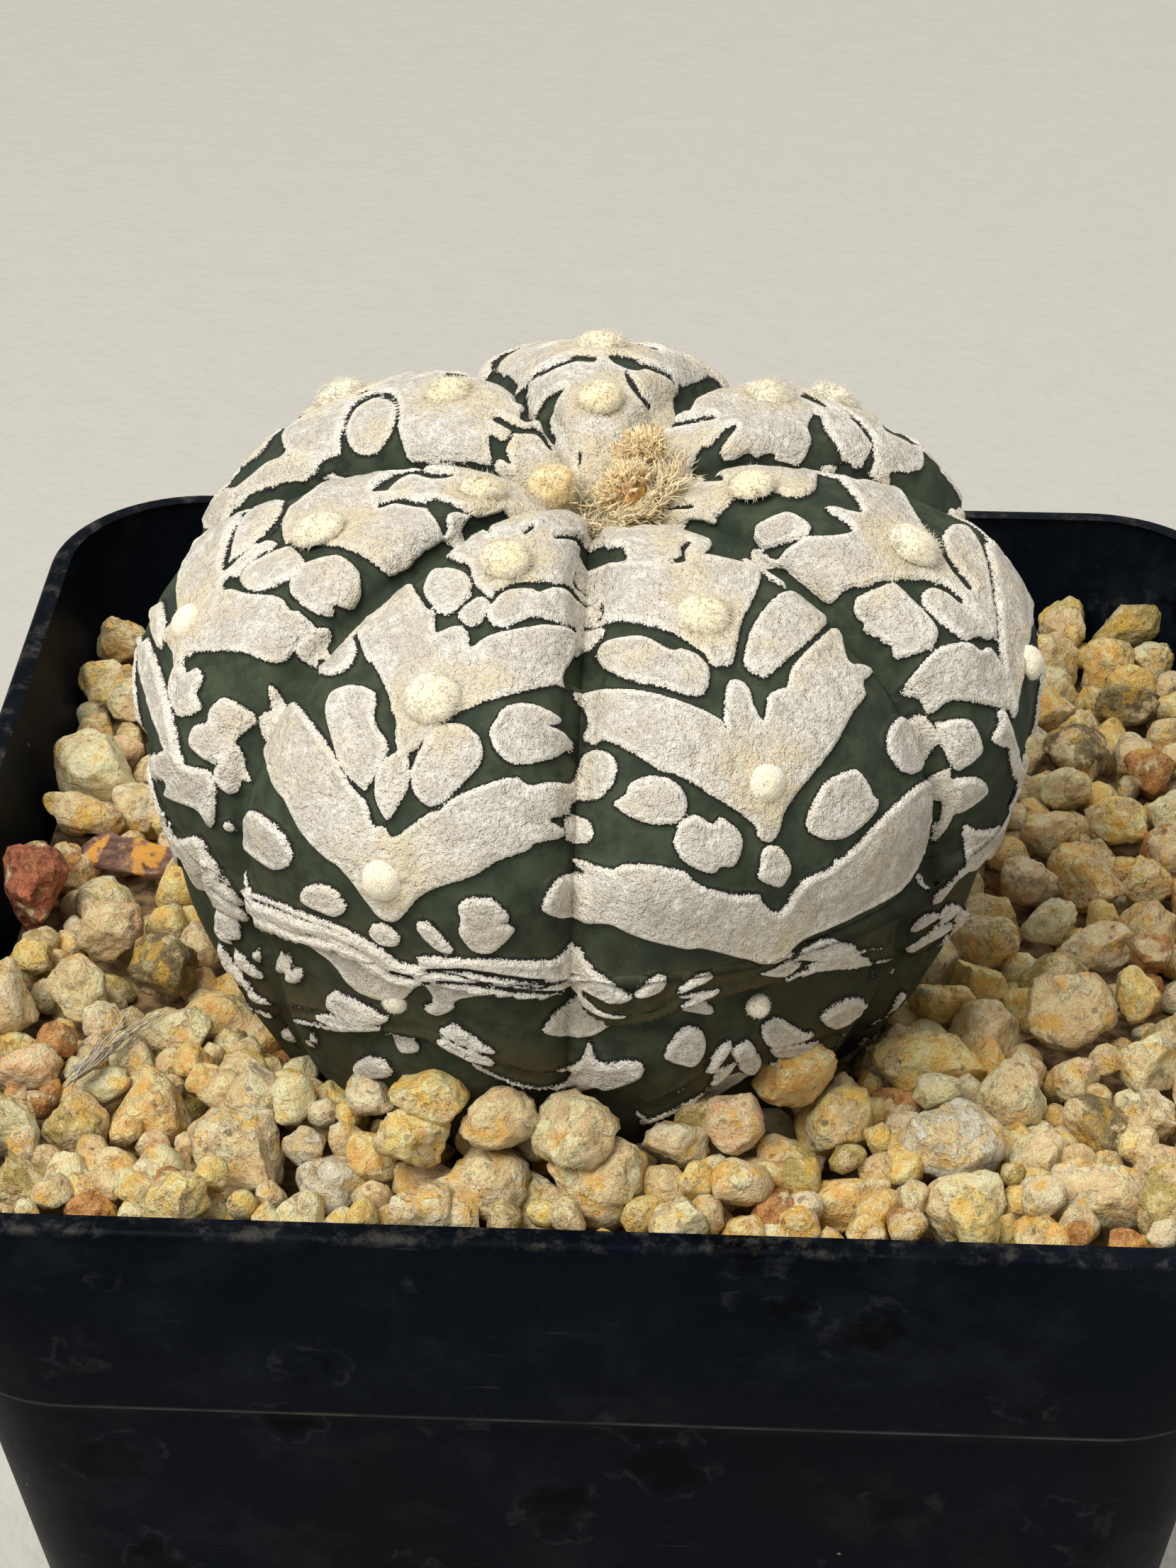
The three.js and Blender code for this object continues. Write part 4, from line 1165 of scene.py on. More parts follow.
def pot_material():
    paint = Paint("black plastic", 0.5, 0.03)
    cloud = paint.noise(14, 4)
    colour = paint.mix(paint.ramp(cloud, 0.3, 0.7), (0.0009, 0.0022, 0.0046), (0.0022, 0.0040, 0.0074))
    drop = paint.plus(paint.cells(7), paint.ramp(paint.noise(2.5, 3), 0.3, 0.7, -0.12, 0.12))
    ring = paint.times(paint.ramp(drop, 0.28, 0.34), paint.ramp(drop, 0.345, 0.39, 1, 0))
    ring = paint.times(ring, paint.ramp(paint.noise(2.2, 4), 0.45, 0.62, 0, 0.2))
    colour = paint.mix(ring, colour, (0.055, 0.060, 0.066))
    blot = paint.ramp(drop, 0.2, 0.24, 0.8, 0)
    colour = paint.mix(blot, colour, (0.0004, 0.0008, 0.0014))
    haze = paint.ramp(paint.noise(5, 5, 0.7), 0.45, 0.7, 0, 0.16)
    colour = paint.mix(haze, colour, (0.030, 0.036, 0.042))
    dust = paint.ramp(paint.noise(0.9, 5, 0.75), 0.6, 0.75, 0, 0.16)
    dust = paint.times(dust, paint.ramp(cloud, 0.46, 0.62))
    colour = paint.mix(dust, colour, (0.07, 0.065, 0.06))
    height = paint.height()
    # Painted highlight: a thin pale line along the rounded step under the band, where it catches the light.
    over_step = paint.ramp(height, band_bottom - 0.5, band_bottom - 0.1)
    edge = paint.times(over_step, paint.ramp(height, band_bottom + 0.25, band_bottom + 0.5, 1, 0))
    edge = paint.times(edge, paint.ramp(paint.noise(3, 4), 0.3, 0.7, 0.1, 0.4))
    colour = paint.mix(edge, colour, (0.17, 0.16, 0.15))
    specks = paint.ramp(paint.cells(5), 0.012, 0.03, 0.5, 0)
    colour = paint.mix(specks, colour, (0.40, 0.38, 0.33))
    scratch = paint.noise(0.5, 3, 0.6, (1, 1, 9))
    scuffs = paint.ramp(paint.noise(0.35, 4, 0.6, (14, 14, 1)), 0.64, 0.72, 0, 0.14)
    scuffed = paint.times(scuffs, paint.ramp(paint.noise(7, 2), 0.56, 0.66))
    colour = paint.mix(scuffed, colour, (0.16, 0.15, 0.13))
    # A paler brownish band along the lip's top: partly dust, partly a painted highlight along the edge.
    at_lip = paint.ramp(height, POT_HEIGHT - 0.5, POT_HEIGHT - 0.1)
    lip = paint.times(at_lip, paint.ramp(paint.noise(1.6, 5, 0.7), 0.48, 0.7, 0, 0.22))
    colour = paint.mix(lip, colour, (0.20, 0.18, 0.15))
    low = paint.ramp(height, band_bottom - 4, band_bottom - 16)
    scratch = paint.times(scratch, low)
    rough = paint.ramp(cloud, 0.3, 0.7, 0.42, 0.58)
    paint.feed(paint.shader.inputs["Roughness"], rough)
    paint.bump(paint.noise(0.3, 2), 0.02, 0.4)
    paint.bump(scratch, 0.03, 0.35)
    return paint.finish(colour)


def plain_material(name, colour, roughness, grain=1.0, spread=0.35, specular=0.2):
    paint = Paint(name, roughness, specular)
    dark = tuple(c * (1 - spread) for c in colour)
    mixed = paint.mix(paint.ramp(paint.noise(grain, 4), 0.35, 0.65), dark, colour)
    paint.bump(paint.noise(grain * 0.4, 3), 0.15 * grain, 0.5)
    return paint.finish(mixed)


# Wool and dried flowers

FIBRE_SIDES = 3


def fibre_rows(starts, ways, lengths, widths, rng, bend, steps, wave=0):
    """Points and faces of thin tapering hairs, each bent a little and waved as told."""
    points = []
    faces = []
    for start, way, length, width in zip(starts, ways, lengths, widths):
        way = way / np.linalg.norm(way)
        side = np.cross(way, rng.normal(size=3))
        side /= np.linalg.norm(side)
        other = np.cross(way, side)
        curl = bend * (rng.uniform(-1, 1) * side + rng.uniform(-1, 1) * other)
        phase = rng.uniform(0, 2 * math.pi) if wave else 0
        first = len(points)
        for step in range(steps):
            share = step / steps
            middle = start + length * (share * way + share * share * curl)
            if wave:
                swing = wave * length * min(1, 3 * share)
                swung = math.sin(9 * share + phase) * side
                swung_other = math.cos(7 * share + phase) * other
                middle = middle + swing * (swung + swung_other)
            for corner in range(FIBRE_SIDES):
                angle = 2 * math.pi * corner / FIBRE_SIDES
                reach = width * (1 - 0.6 * share)
                points.append(middle + reach * (math.cos(angle) * side + math.sin(angle) * other))
        points.append(start + length * (way + curl))
        tip = len(points) - 1
        for step in range(steps - 1):
            for corner in range(FIBRE_SIDES):
                a = first + step * FIBRE_SIDES + corner
                b = first + step * FIBRE_SIDES + (corner + 1) % FIBRE_SIDES
                faces.append((a, b, b + FIBRE_SIDES))
                faces.append((a, b + FIBRE_SIDES, a + FIBRE_SIDES))
        for corner in range(FIBRE_SIDES):
            a = first + (steps - 1) * FIBRE_SIDES + corner
            b = first + (steps - 1) * FIBRE_SIDES + (corner + 1) % FIBRE_SIDES
            faces.append((a, b, tip))
        faces.append((first, first + 2, first + 1))
    return np.array(points), np.array(faces)


def gather(parts):
    """Joins lists of (points, faces, values) into one."""
    points = []
    faces = []
    values = []
    count = 0
    for part_points, part_faces, part_values in parts:
        points.append(part_points)
        faces.append(np.asarray(part_faces) + count)
        values.append(np.broadcast_to(part_values, len(part_points)))
        count += len(part_points)
    return np.concatenate(points), np.concatenate(faces), np.concatenate(values)


def ball(level):
    """A unit ball's points and triangles."""
    mesh = bpy.data.meshes.new("ball")
    shape = bmesh.new()
    bmesh.ops.create_icosphere(shape, subdivisions=level, radius=1)
    shape.to_mesh(mesh)
    shape.free()
    points = np.array([v.co[:] for v in mesh.vertices])
    faces = np.array([p.vertices[:] for p in mesh.polygons])
    bpy.data.meshes.remove(mesh)
    return points, faces


BALLS = {level: ball(level) for level in (2, 3, 4)}


def axes_from(here, right, up):
    """The sideways, upward and outward directions at a place, from two places beside it."""
    beside = right - here
    beside /= np.linalg.norm(beside)
    out = np.cross(beside, up - here)
    out /= np.linalg.norm(out)
    return here, np.stack([beside, np.cross(out, beside), out])


def frame_at(around, angle):
    """The place and the directions on the stem at this rib and this angle from the top."""
    steps = ((0, 0), (0.01, 0), (0, -0.5))
    return axes_from(*[stem_points(np.array([around + a]), np.array([angle + b]))[0] for a, b in steps])


def wool_pad(place, axes, radius, height, gold, rng, hairs, tall, uneven, wave=0):
    """A dome of short wool with fine hairs standing out all over it and lying round its foot."""
    unit, triangles = BALLS[4 if radius > 0.9 else 3]
    dome = unit.copy()
    dome[:, 2] = np.where(dome[:, 2] > 0, dome[:, 2], dome[:, 2] * 0.3)
    size = np.array([radius, radius, height])
    offset = 40 * rng.random(3)
    local = dome * size
    ragged = 1 + uneven * (bumps(local + offset, 0.9, 8) + bumps(local + offset, 0.4, 9))
    local = local * ragged[:, None]
    parts = [(place + local @ axes, triangles, gold * (0.45 + 0.55 * ease(dome[:, 2], -0.2, 0.8)))]
    ways = rng.normal(size=(hairs, 3))
    ways[:, 2] = np.abs(ways[:, 2]) * rng.uniform(0.3, 1, hairs)
    ways /= np.linalg.norm(ways, axis=1)[:, None]
    starts = place + (ways * size * 0.93) @ axes
    leaning = (ways + rng.normal(size=ways.shape) * 0.6) @ axes
    lengths = rng.uniform(0.4, 1, hairs) * tall
    widths = rng.uniform(0.02, 0.034, hairs)
    hair_points, hair_faces = fibre_rows(starts, leaning, lengths, widths, rng, 0.9, 5 if wave else 2, wave)
    parts.append((hair_points, hair_faces, gold * 0.6))
    return parts


# Areoles nearer the top than this angle are wide tufts and the others small ones: how far each is sunk, its
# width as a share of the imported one's, its height, its hairs and their length
UPPER_ANGLE = 50
UPPER_WOOL = (0.35, 1.14, 0.82, 560, 0.5)
LOWER_WOOL = (0.4, 0.78, 0.75, 200, 0.2)
LOWER_GOLD = 0.4
AREOLE_UNEVEN = 0.05


def build_areoles(wool):
    """The woolly tufts down each rib's crest, one piece for each rib."""
    rng = np.random.default_rng(21)
    for rib, row in enumerate(AREOLES):
        parts = []
        for angle, radius in row:
            place, axes = frame_at(float(rib), angle)
            upper = angle < UPPER_ANGLE
            sunk, width, height, hairs, tall = UPPER_WOOL if upper else LOWER_WOOL
            gold = 1 - 0.5 * ease(angle, 22, 45) if upper else LOWER_GOLD
            foot = place - sunk * axes[2]
            parts += wool_pad(foot, axes, width * radius, height, gold, rng, hairs, tall, AREOLE_UNEVEN)
        points, faces, values = gather(parts)
        piece = make_piece(f"areoles_rib{rib + 1}", points, faces, wool, {"gold": values})
        replaced = [f"areole_rib{rib + 1}_{number + 1}" for number in range(len(row))]
        hand_over(piece, "areole_wool", *replaced)


def crown_frame(x, y):
    """The place and the directions over the crown, this far across and back from the stem's axis."""
    return axes_from(crown_place(x, y), crown_place(x + 0.3, y), crown_place(x, y + 0.3))


# Place across and back over the crown, radius and height
CROWN_PAD = (2, 0, 3, 1.7)
YOUNG_AREOLE = (-2.5, 1, 1.1, 1.5)
RING_STRANDS = 620
TUFTS = {
    # foot across, back and up over the crown; how far it fans out and back; ribbons, threads, length, seed
    "dried_flower_back": (2.9, 2.5, 0.5, 1.0, 0.1, 230, 900, 2.1, 4),
    "dried_flower_front": (2.7, -1.1, 1.0, 1.3, 0.25, 270, 1100, 1.9, 9),
}


def build_crown(wool, straw):
    """The ring of wool in the crown, the young areole beside it and the two dried flowers."""
    rng = np.random.default_rng(5)
    x, y, radius, height = CROWN_PAD
    place, axes = crown_frame(x, y)
    parts = wool_pad(place, axes, 0.8 * radius, 0.42 * height, 0.8, rng, 420, 0.9, 0.2, 0.16)
    for _ in range(RING_STRANDS):
        way = rng.uniform(0, 2 * math.pi)
        reach = radius * rng.uniform(0.5, 0.96)
        place, axes = crown_frame(x + reach * math.cos(way), y + reach * math.sin(way))
        along = np.array([-math.sin(way), math.cos(way), rng.uniform(0, 0.5)]) + rng.normal(size=3) * 0.45
        start = place + rng.uniform(0, 0.5) * height * axes[2]
        length = rng.uniform(0.9, 1.8)
        width = rng.uniform(0.05, 0.1)
        strand = fibre_rows([start], [along], [length], [width], rng, 1.1, 5, 0.12)
        parts.append((*strand, rng.uniform(0.2, 0.9)))
    points, faces, values = gather(parts)
    ring = make_piece("crown_wool_ring", points, faces, wool, {"gold": values})
    hand_over(ring, "crown_wool", "crown_wool")
    x, y, radius, height = YOUNG_AREOLE
    place, axes = crown_frame(x, y)
    parts = wool_pad(place, axes, 1.1 * radius, 1.1 * height, 1.0, rng, 700, 0.5, 0.1, 0.1)
    points, faces, values = gather(parts)
    young = make_piece("young_areole", points, faces, wool, {"gold": values})
    hand_over(young, "crown_wool", "areole_young")
    for name, tuft in TUFTS.items():
        build_tuft(name, straw, *tuft)


def build_tuft(name, straw, x, y, foot, spread, back, ribbons, threads, length, seed):
    """A dried flower like a worn brush: crumpled ribbons fan out of one foot into curly threads."""
    rng = np.random.default_rng(seed)
    place, axes = crown_frame(x, y)
    root = place + foot * axes[2]
    unit, triangles = BALLS[3]
    core = unit * [0.34 * spread + 0.3, 0.5, 0.55]
    core *= (1 + 0.18 * bumps(unit, 0.5, seed))[:, None]
    parts = [(root + core @ axes, triangles, np.zeros(len(core)))]

    def fan(count, low, high):
        """Directions out of the foot, as sideways, back and up, wide across and shallow in depth."""
        across = rng.uniform(-1, 1, count)
        behind = back + rng.normal(size=count) * 0.42
        ways = np.stack([spread * across, behind, 1.25 - 0.45 * across**2], axis=1)
        return ways / np.linalg.norm(ways, axis=1)[:, None], rng.uniform(low, high, count)[:, None] * length

    ways, out = fan(ribbons, 0.0, 0.12)
    starts = root + (ways * out + rng.normal(size=ways.shape) * 0.12) @ axes
    lengths = rng.uniform(0.55, 0.95, ribbons) * length
    widths = rng.uniform(0.12, 0.2, ribbons)
    parts.append(fibres_with_tips(starts, ways @ axes, lengths, widths, rng, 0.45, 6, 0.05, 0.1))
    ways, out = fan(threads, 0.3, 0.85)
    starts = root + (ways * out + rng.normal(size=ways.shape) * 0.14) @ axes
    leaning = (ways + rng.normal(size=ways.shape) * 0.75) @ axes
    lengths = rng.uniform(0.12, 0.3, threads) * length
    widths = rng.uniform(0.035, 0.06, threads)
    parts.append(fibres_with_tips(starts, leaning, lengths, widths, rng, 1.4, 4, 0.14, 0.5))
    points, faces, values = gather(parts)
    piece = make_piece(f"{name}_petals", points, faces, straw, {"pale": values})
    hand_over(piece, "dried_flower", name)


def fibres_with_tips(starts, ways, lengths, widths, rng, bend, steps, wave, foot_value):
    """Fibres with a value for each point that rises from their feet to their pale tips."""
    points, faces = fibre_rows(starts, ways, lengths, widths, rng, bend, steps, wave)
    share = np.append(np.repeat(np.arange(steps) / steps, FIBRE_SIDES), 1)
    tone = rng.uniform(0.6, 1, len(starts))
    values = (foot_value + (1 - foot_value) * share)[None] * tone[:, None]
    return points, faces, values.ravel()


def straw_material():
    paint = Paint("dried flower", 0.8, 0.2)
    pale = paint.mix(paint.ramp(paint.value("pale"), 0.05, 0.75), (0.70, 0.36, 0.09), (0.96, 0.81, 0.53))
    colour = paint.mix(paint.ramp(paint.noise(0.5, 3), 0.4, 0.7, 0, 0.25), pale, (0.80, 0.50, 0.20))
    paint.let_light_in(0.35, 0.6, 0.4, 0.2)
    return paint.finish(colour)


# The gravel

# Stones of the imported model: kind, place, height of the middle below the rim, sizes, turn in degrees
PACKED_STONES = {
    "stone_cinder_red": ("cinder", -33.2, -2.5, -3.2, 3.8, 5.6, 5.4, 10),
    "stone_block_pale": ("cream", -32.2, 12.1, -5, 5.4, 5.4, 4.8, 12),
    "stone_peach": ("pink", -28.5, -6.3, -3.6, 4.8, 4.2, 3.6, -14),
    "stone_cream": ("cream", -28.8, -12.5, -3.6, 3.6, 4.4, 3.8, 20),
    "stone_ochre": ("dark", -24.6, -10.2, -3.6, 4.2, 4.2, 3.8, -8),
    "stone_smoky_left": ("grey", -32.9, -13.6, -3.6, 3.8, 5.2, 4.8, 5),
    "stone_yellow_oval": ("cream", -23.1, -16.2, -3.6, 5.2, 3.6, 3.2, 0),
    "stone_amber_tall": ("amber", -23.2, -23.6, -3.2, 4.4, 5.6, 5, -14),
    "stone_gold_left": ("gold", -18.7, -20.8, -3.2, 3.6, 3.6, 3.2, -10),
    "stone_banded": ("grey", -18, -27.9, -2.8, 5.2, 5.8, 5.2, 4),
    "stone_speckled_left": ("white", -12.6, -29.6, -2.8, 4.4, 4.2, 3.8, -12),
    "stone_gold_perched": ("gold", -8.6, -30.4, 1, 4.2, 3.4, 3.4, 16),
    "stone_grey_gold": ("grey", -5.4, -30.6, -1.9, 5.2, 4.6, 4.6, 14),
    "stone_cream_brown": ("cream", 0.9, -30.4, -1.2, 5.2, 5, 5.8, -6),
    "stone_long_pink": ("pink", 8, -29, -2.8, 4.6, 3.2, 2.8, 14),
    "stone_gold_right": ("gold", 13, -24.5, -2.2, 4.6, 4.6, 4.4, -20),
    "stone_gold_long": ("gold", 17.6, -18.3, -2.8, 6.6, 3.6, 3.8, 20),
    "stone_white_round": ("white", 18.8, -25.8, -2.2, 5.8, 5.4, 5, -12),
    "stone_grey_wedge": ("grey", 25.2, -12.7, -3, 5.4, 5.4, 5, 10),
    "stone_moss_dark": ("dark", 26.8, -22.6, -3.6, 4.6, 3.6, 3.2, -12),
    "stone_grey_flat": ("grey", 26.4, -29.2, -2.6, 6.4, 4.4, 4, 6),
    "stone_olive_back": ("dark", 27.6, 17, -5.6, 5, 4.2, 3.6, 25),
}

# Other stones that the photograph shows: kind, middle in its pixels, width and height in millimetres,
# and how far the middle stands over the bed
SEEN_STONES = [
    ("amber", 118, 1146, 5.2, 2.8, 0.8), ("gold", 50, 1350, 2.8, 2.6, 1),
    ("pink", 285, 1338, 2.8, 3.2, 0.6), ("rust", 82, 1475, 2.4, 2.8, 1), ("pink", 40, 1512, 3.8, 3, 1),
    ("grey", 145, 1443, 2.8, 2.2, 0.6), ("cream", 145, 1535, 3.4, 2.2, 1), ("cream", 14, 1590, 3.8, 4, 1),
    ("olive", 108, 1587, 3.9, 4, 1), ("olive", 26, 1678, 4.4, 4, 1), ("amber", 155, 1655, 3.6, 3, 1),
    ("cream", 95, 1668, 2.6, 3.2, 0.8), ("amber", 236, 1648, 2.8, 2.8, 1),
    ("rust", 126, 1712, 2.8, 2.2, 1), ("white", 215, 1708, 2.6, 2, 1), ("cream", 286, 1702, 3, 2.4, 0.8),
    ("gold", 350, 1716, 3, 2, 0.8), ("gold", 466, 1570, 3.8, 3.6, 1.4),
    ("grey", 528, 1545, 3.2, 2.8, 1.6), ("pink", 596, 1682, 3.8, 3.6, 1.4),
    ("cream", 575, 1616, 2, 1.6, 2.4), ("gold", 556, 1718, 3.6, 2, 0.8),
    ("grey", 704, 1576, 4.4, 3.2, 3.6), ("gold", 606, 1548, 4.2, 3.6, 4),
    ("cream", 812, 1600, 4.4, 4.4, 3), ("amber", 1120, 1512, 4.6, 4.2, 2.6),
    ("cream", 756, 1700, 3.8, 3.4, 0.8), ("grey", 952, 1612, 3.6, 3.2, 1.6),
    ("pink", 1036, 1580, 3.4, 3.6, 1.6), ("olive", 990, 1575, 3, 2.6, 1), ("gold", 990, 1722, 5, 2, 0.8),
    ("amber", 1200, 1698, 5.6, 3.4, 1), ("cream", 1356, 1706, 5, 3.6, 1),
    ("gold", 1432, 1700, 2.8, 2.4, 0.8), ("cream", 1426, 1545, 4, 5.4, 1.6),
    ("gold", 1440, 1618, 2.6, 2.6, 0.4), ("gold", 1326, 1414, 4, 2.6, 0.8),
    ("pink", 1516, 1526, 2.9, 2.9, 1), ("cream", 1616, 1508, 3.9, 4.2, 1.2),
    ("rust", 1562, 1497, 2, 1.8, 1.6), ("grey", 1618, 1576, 3.4, 3.4, 1.4),
    ("pink", 1634, 1650, 2.8, 2.6, 1), ("grey", 1130, 1640, 2.8, 2.4, 0.6),
    ("white", 1108, 1708, 3.4, 2.4, 0.6), ("gold", 1600, 1405, 2.8, 3.2, 1),
    ("amber", 1393, 1332, 4.4, 3.6, 0.8), ("grey", 1545, 1335, 4.6, 3, 1), ("rust", 1622, 1345, 3, 3, 1),
    ("cream", 1480, 1300, 3.6, 2.8, 0.8), ("pink", 1440, 1240, 3.4, 3, 1),
    ("amber", 1540, 1250, 4, 3.2, 1), ("gold", 1620, 1240, 3.4, 3, 1), ("grey", 1480, 1175, 3.6, 2.8, 1),
    ("gold", 1580, 1160, 3.6, 3, 1), ("cream", 1500, 1110, 3.4, 2.6, 1), ("rust", 1620, 1090, 3.4, 3, 1),
    ("amber", 1480, 1000, 3.8, 3, 1), ("dark", 1590, 990, 4.4, 3, 1), ("gold", 1500, 880, 3.2, 4, 1),
    ("olive", 1590, 880, 4.6, 3.6, 1), ("gold", 95, 960, 4, 3.4, 1), ("amber", 160, 900, 3.6, 3.2, 1),
    ("grey", 190, 990, 3.4, 3, 1),
]
# How common each kind is in the loose fill, and the material slot of each kind
FILL_WEIGHTS = {
    "gold": 0.27, "amber": 0.19, "grey": 0.2, "cream": 0.15,
    "pink": 0.07, "rust": 0.04, "white": 0.03, "olive": 0.05,
}
STONE_SLOTS = {
    "gold": "stone_gold", "amber": "stone_gold", "cream": "stone_pale", "white": "stone_pale",
    "pink": "stone_pale", "grey": "stone_grey", "dark": "stone_dark", "rust": "stone_dark",
    "olive": "stone_dark", "cinder": "cinder",
}
# How finely the shown stones are divided and how many planes cut them
SHOWN_STONE = (4, 9)
# The same for the fill: the larger the part of a stone that shows, the finer it is divided
FILL_LEVELS = ((1.5, 4), (0.95, 3), (0, 2))
FILL_FACETS = 8
# How far from the middle those planes lie, and how much of what stands past one is cut off
FACET_DEPTHS = (0.58, 0.86)
FACET_CUT = 0.93
# Share of the tries, and the smallest and largest radius drawn in them
FILL_SIZES = [(0.5, 1.9, 2.7), (0.35, 1.4, 1.9), (0.15, 0.95, 1.4)]
FILL_TRIES = 11000
# Places tried for each stone, of which the lowest is taken
PLACE_TRIES = 5
# How close two stones' middles come, as a share of their radii together
NESTING = 0.88
# Stones keep away from the stem by this share of its reach, and from the pot's corners by this share of
# their radius
STEM_SHARE = 0.95
WALL_SHARE = 0.98
INNER_CORNER = RIM_CORNER - WALL
# The fill goes down this far under the bed's top, and stands this far over it: everywhere, more in front,
# and more again by the plant's foot
FILL_DEPTH = 5.2
FILL_RISE = 1.5
FRONT_RISE = 2.3
PLANT_RISE = 2.2
# How far the plant reaches at the height of the heaped gravel
FOOT_REACH = 22
# Grit fills what the pile leaves open: its spacing, how far under the fill's top it ends, and its radii
GRIT_SPACING = 1.7
GRIT_DEPTH = 1.7
GRIT_RADII = (0.8, 1.3)


def inner_half(z):
    """Half the room between the pot's walls at a height inside its band."""
    return RIM_WIDTH / 2 - WALL - BAND_TAPER * (POT_HEIGHT - z)


def stem_reach_at(z):
    """How far out from its axis the root end of the stem is at this height."""
    low = CREST[14:][::-1]
    return np.interp(z - PLANT[2], low[:, 1], low[:, 0])


def bed_top(y):
    """The height of the bed's top, which falls a little from front to back."""
    return BED_HEIGHT + BED_SLOPE * y


def on_bed(across, down, rise):
    """The place that shows at this pixel of the photograph, this far over the bed and inside the pot."""
    ray = CAMERA_FORWARD + CAMERA_RIGHT * (across - PHOTO_WIDTH / 2) / FOCAL_PIXELS
    ray = ray - CAMERA_UP * (down - PHOTO_HEIGHT / 2) / FOCAL_PIXELS
    drop = BED_HEIGHT + rise + BED_SLOPE * CAMERA_PLACE[1] - CAMERA_PLACE[2]
    place = CAMERA_PLACE + ray * drop / (ray[2] - BED_SLOPE * ray[1])
    edge = inner_half(BED_HEIGHT) - 1.6
    return np.array([*np.clip(place[:2], -edge, edge), place[2]])


def clear_of_stem(place, radius):
    """The place moved towards the camera until a stone of this radius there stands outside the stem."""
    to_camera = (CAMERA_PLACE - place) / np.linalg.norm(CAMERA_PLACE - place)
    for _ in range(60):
        away = math.hypot(place[0] - PLANT[0], place[1] - PLANT[1])
        if away > 0.97 * stem_reach_at(place[2]) + 0.8 * radius:
            break
        place = place + 0.1 * to_camera
    return place


def fill_top(x, y):
    """How high the loose fill may stand; it is heaped up towards the pot's front and the plant there."""
    front = float(ease(-y, 12, 30))
    from_plant = math.hypot(x - PLANT[0], y - PLANT[1]) - FOOT_REACH
    by_plant = float(ease(-from_plant, -6, 0))
    return bed_top(y) + FILL_RISE + FRONT_RISE * front + PLANT_RISE * front * by_plant


def stone_points(rng, size, turn, level, facets):
    """A water-worn broken stone: a ball cut by planes and roughened."""
    unit, triangles = BALLS[level]
    shape = unit.copy()
    for _ in range(facets):
        way = rng.normal(size=3)
        way /= np.linalg.norm(way)
        over = np.maximum(shape @ way - rng.uniform(*FACET_DEPTHS), 0)
        shape -= over[:, None] * way * FACET_CUT
    shape /= np.abs(shape).max(axis=0)
    offset = rng.random(3) * 30
    rough = 0.13 * bumps(shape + offset, 0.8, 7) - 0.13 * np.abs(bumps(shape + offset, 0.36, 6))
    shape *= (1 + rough + 0.05 * bumps(shape + offset, 0.17, 5))[:, None]
    half = np.asarray(size) / 2
    tilt = rng.normal(size=2) * 0.22
    spin = Matrix.Rotation(math.radians(turn), 3, "Z") @ Matrix.Rotation(tilt[0], 3, "X")
    spin = spin @ Matrix.Rotation(tilt[1], 3, "Y")
    return (shape * half) @ np.array(spin).T, triangles


def fill_sizes(share):
    """The smallest and largest radius at this share of the tries."""
    for part, small, large in FILL_SIZES:
        if share < part:
            return small, large
        share -= part
    return FILL_SIZES[-1][1:]


def in_pot(x, y, radius):
    """Whether a stone of this radius stays inside the pot's wall and its rounded corners."""
    middle = inner_half(BED_HEIGHT) - INNER_CORNER
    past = math.hypot(max(0, abs(x) - middle), max(0, abs(y) - middle))
    return past <= INNER_CORNER - WALL_SHARE * radius


def pile_stones(rng):
    """Places for the loose fill: each stone rests on the ones below it, and none stands in the stem."""
    placed = []
    for _, x, y, depth, along, across, up, _ in PACKED_STONES.values():
        placed.append((x, y, POT_HEIGHT + depth, (along + across + up) / 6))
    for _, across, down, wide, high, rise in SEEN_STONES:
        radius = (wide + high) / 4
        placed.append((*clear_of_stem(on_bed(across, down, rise), radius), radius))
    placed.append((*BARK_MIDDLE, BARK_ROOM))
    placed = np.array(placed)
    fill = []
    for attempt in range(FILL_TRIES):
        radius = rng.uniform(*fill_sizes(attempt / FILL_TRIES))
        best = None
        for _ in range(PLACE_TRIES):
            half = inner_half(BED_HEIGHT) - radius * 0.95
            x, y = rng.uniform(-half, half, 2)
            if not in_pot(x, y, radius):
                continue
            z = bed_top(y) - FILL_DEPTH + radius
            gap = np.hypot(placed[:, 0] - x, placed[:, 1] - y)
            reach = (placed[:, 3] + radius) * NESTING
            near = gap < reach
            if near.any():
                rest = placed[near, 2] + np.sqrt(reach[near] ** 2 - gap[near] ** 2)
                z = max(z, rest.max())
            away = math.hypot(x - PLANT[0], y - PLANT[1])
            if away < STEM_SHARE * stem_reach_at(z) + radius * 0.75:
                continue
            if best is None or z < best[2]:
                best = (x, y, z, radius)
        if best is None or best[2] + radius * 0.7 > fill_top(*best[:2]):
            continue
        placed = np.vstack([placed, best])
        fill.append(best)
    fill += grit_between(placed, rng)
    return without_hidden(np.array(fill), placed)


def grit_between(placed, rng):
    """Small stones in the gaps where the pile stands lower than its surroundings."""
    grit = []
    half = inner_half(BED_HEIGHT) - 0.6
    for across in np.arange(-half, half, GRIT_SPACING):
        for back in np.arange(-half, half, GRIT_SPACING):
            x, y = np.array([across, back]) + rng.uniform(-0.4, 0.4, 2)
            radius = rng.uniform(*GRIT_RADII)
            if not in_pot(x, y, radius):
                continue
            gap2 = (placed[:, 0] - x) ** 2 + (placed[:, 1] - y) ** 2
            under = gap2 < placed[:, 3] ** 2
            tops = placed[under, 2] + 0.9 * np.sqrt(placed[under, 3] ** 2 - gap2[under])
            z = max(tops.max() if under.any() else 0, bed_top(y) - FILL_DEPTH) + 0.45 * radius
            away = math.hypot(x - PLANT[0], y - PLANT[1])
            while z < fill_top(x, y) - GRIT_DEPTH and away > STEM_SHARE * stem_reach_at(z) + 0.4 * radius:
                grit.append((x, y, z, radius))
                z += 1.1 * radius
    return grit


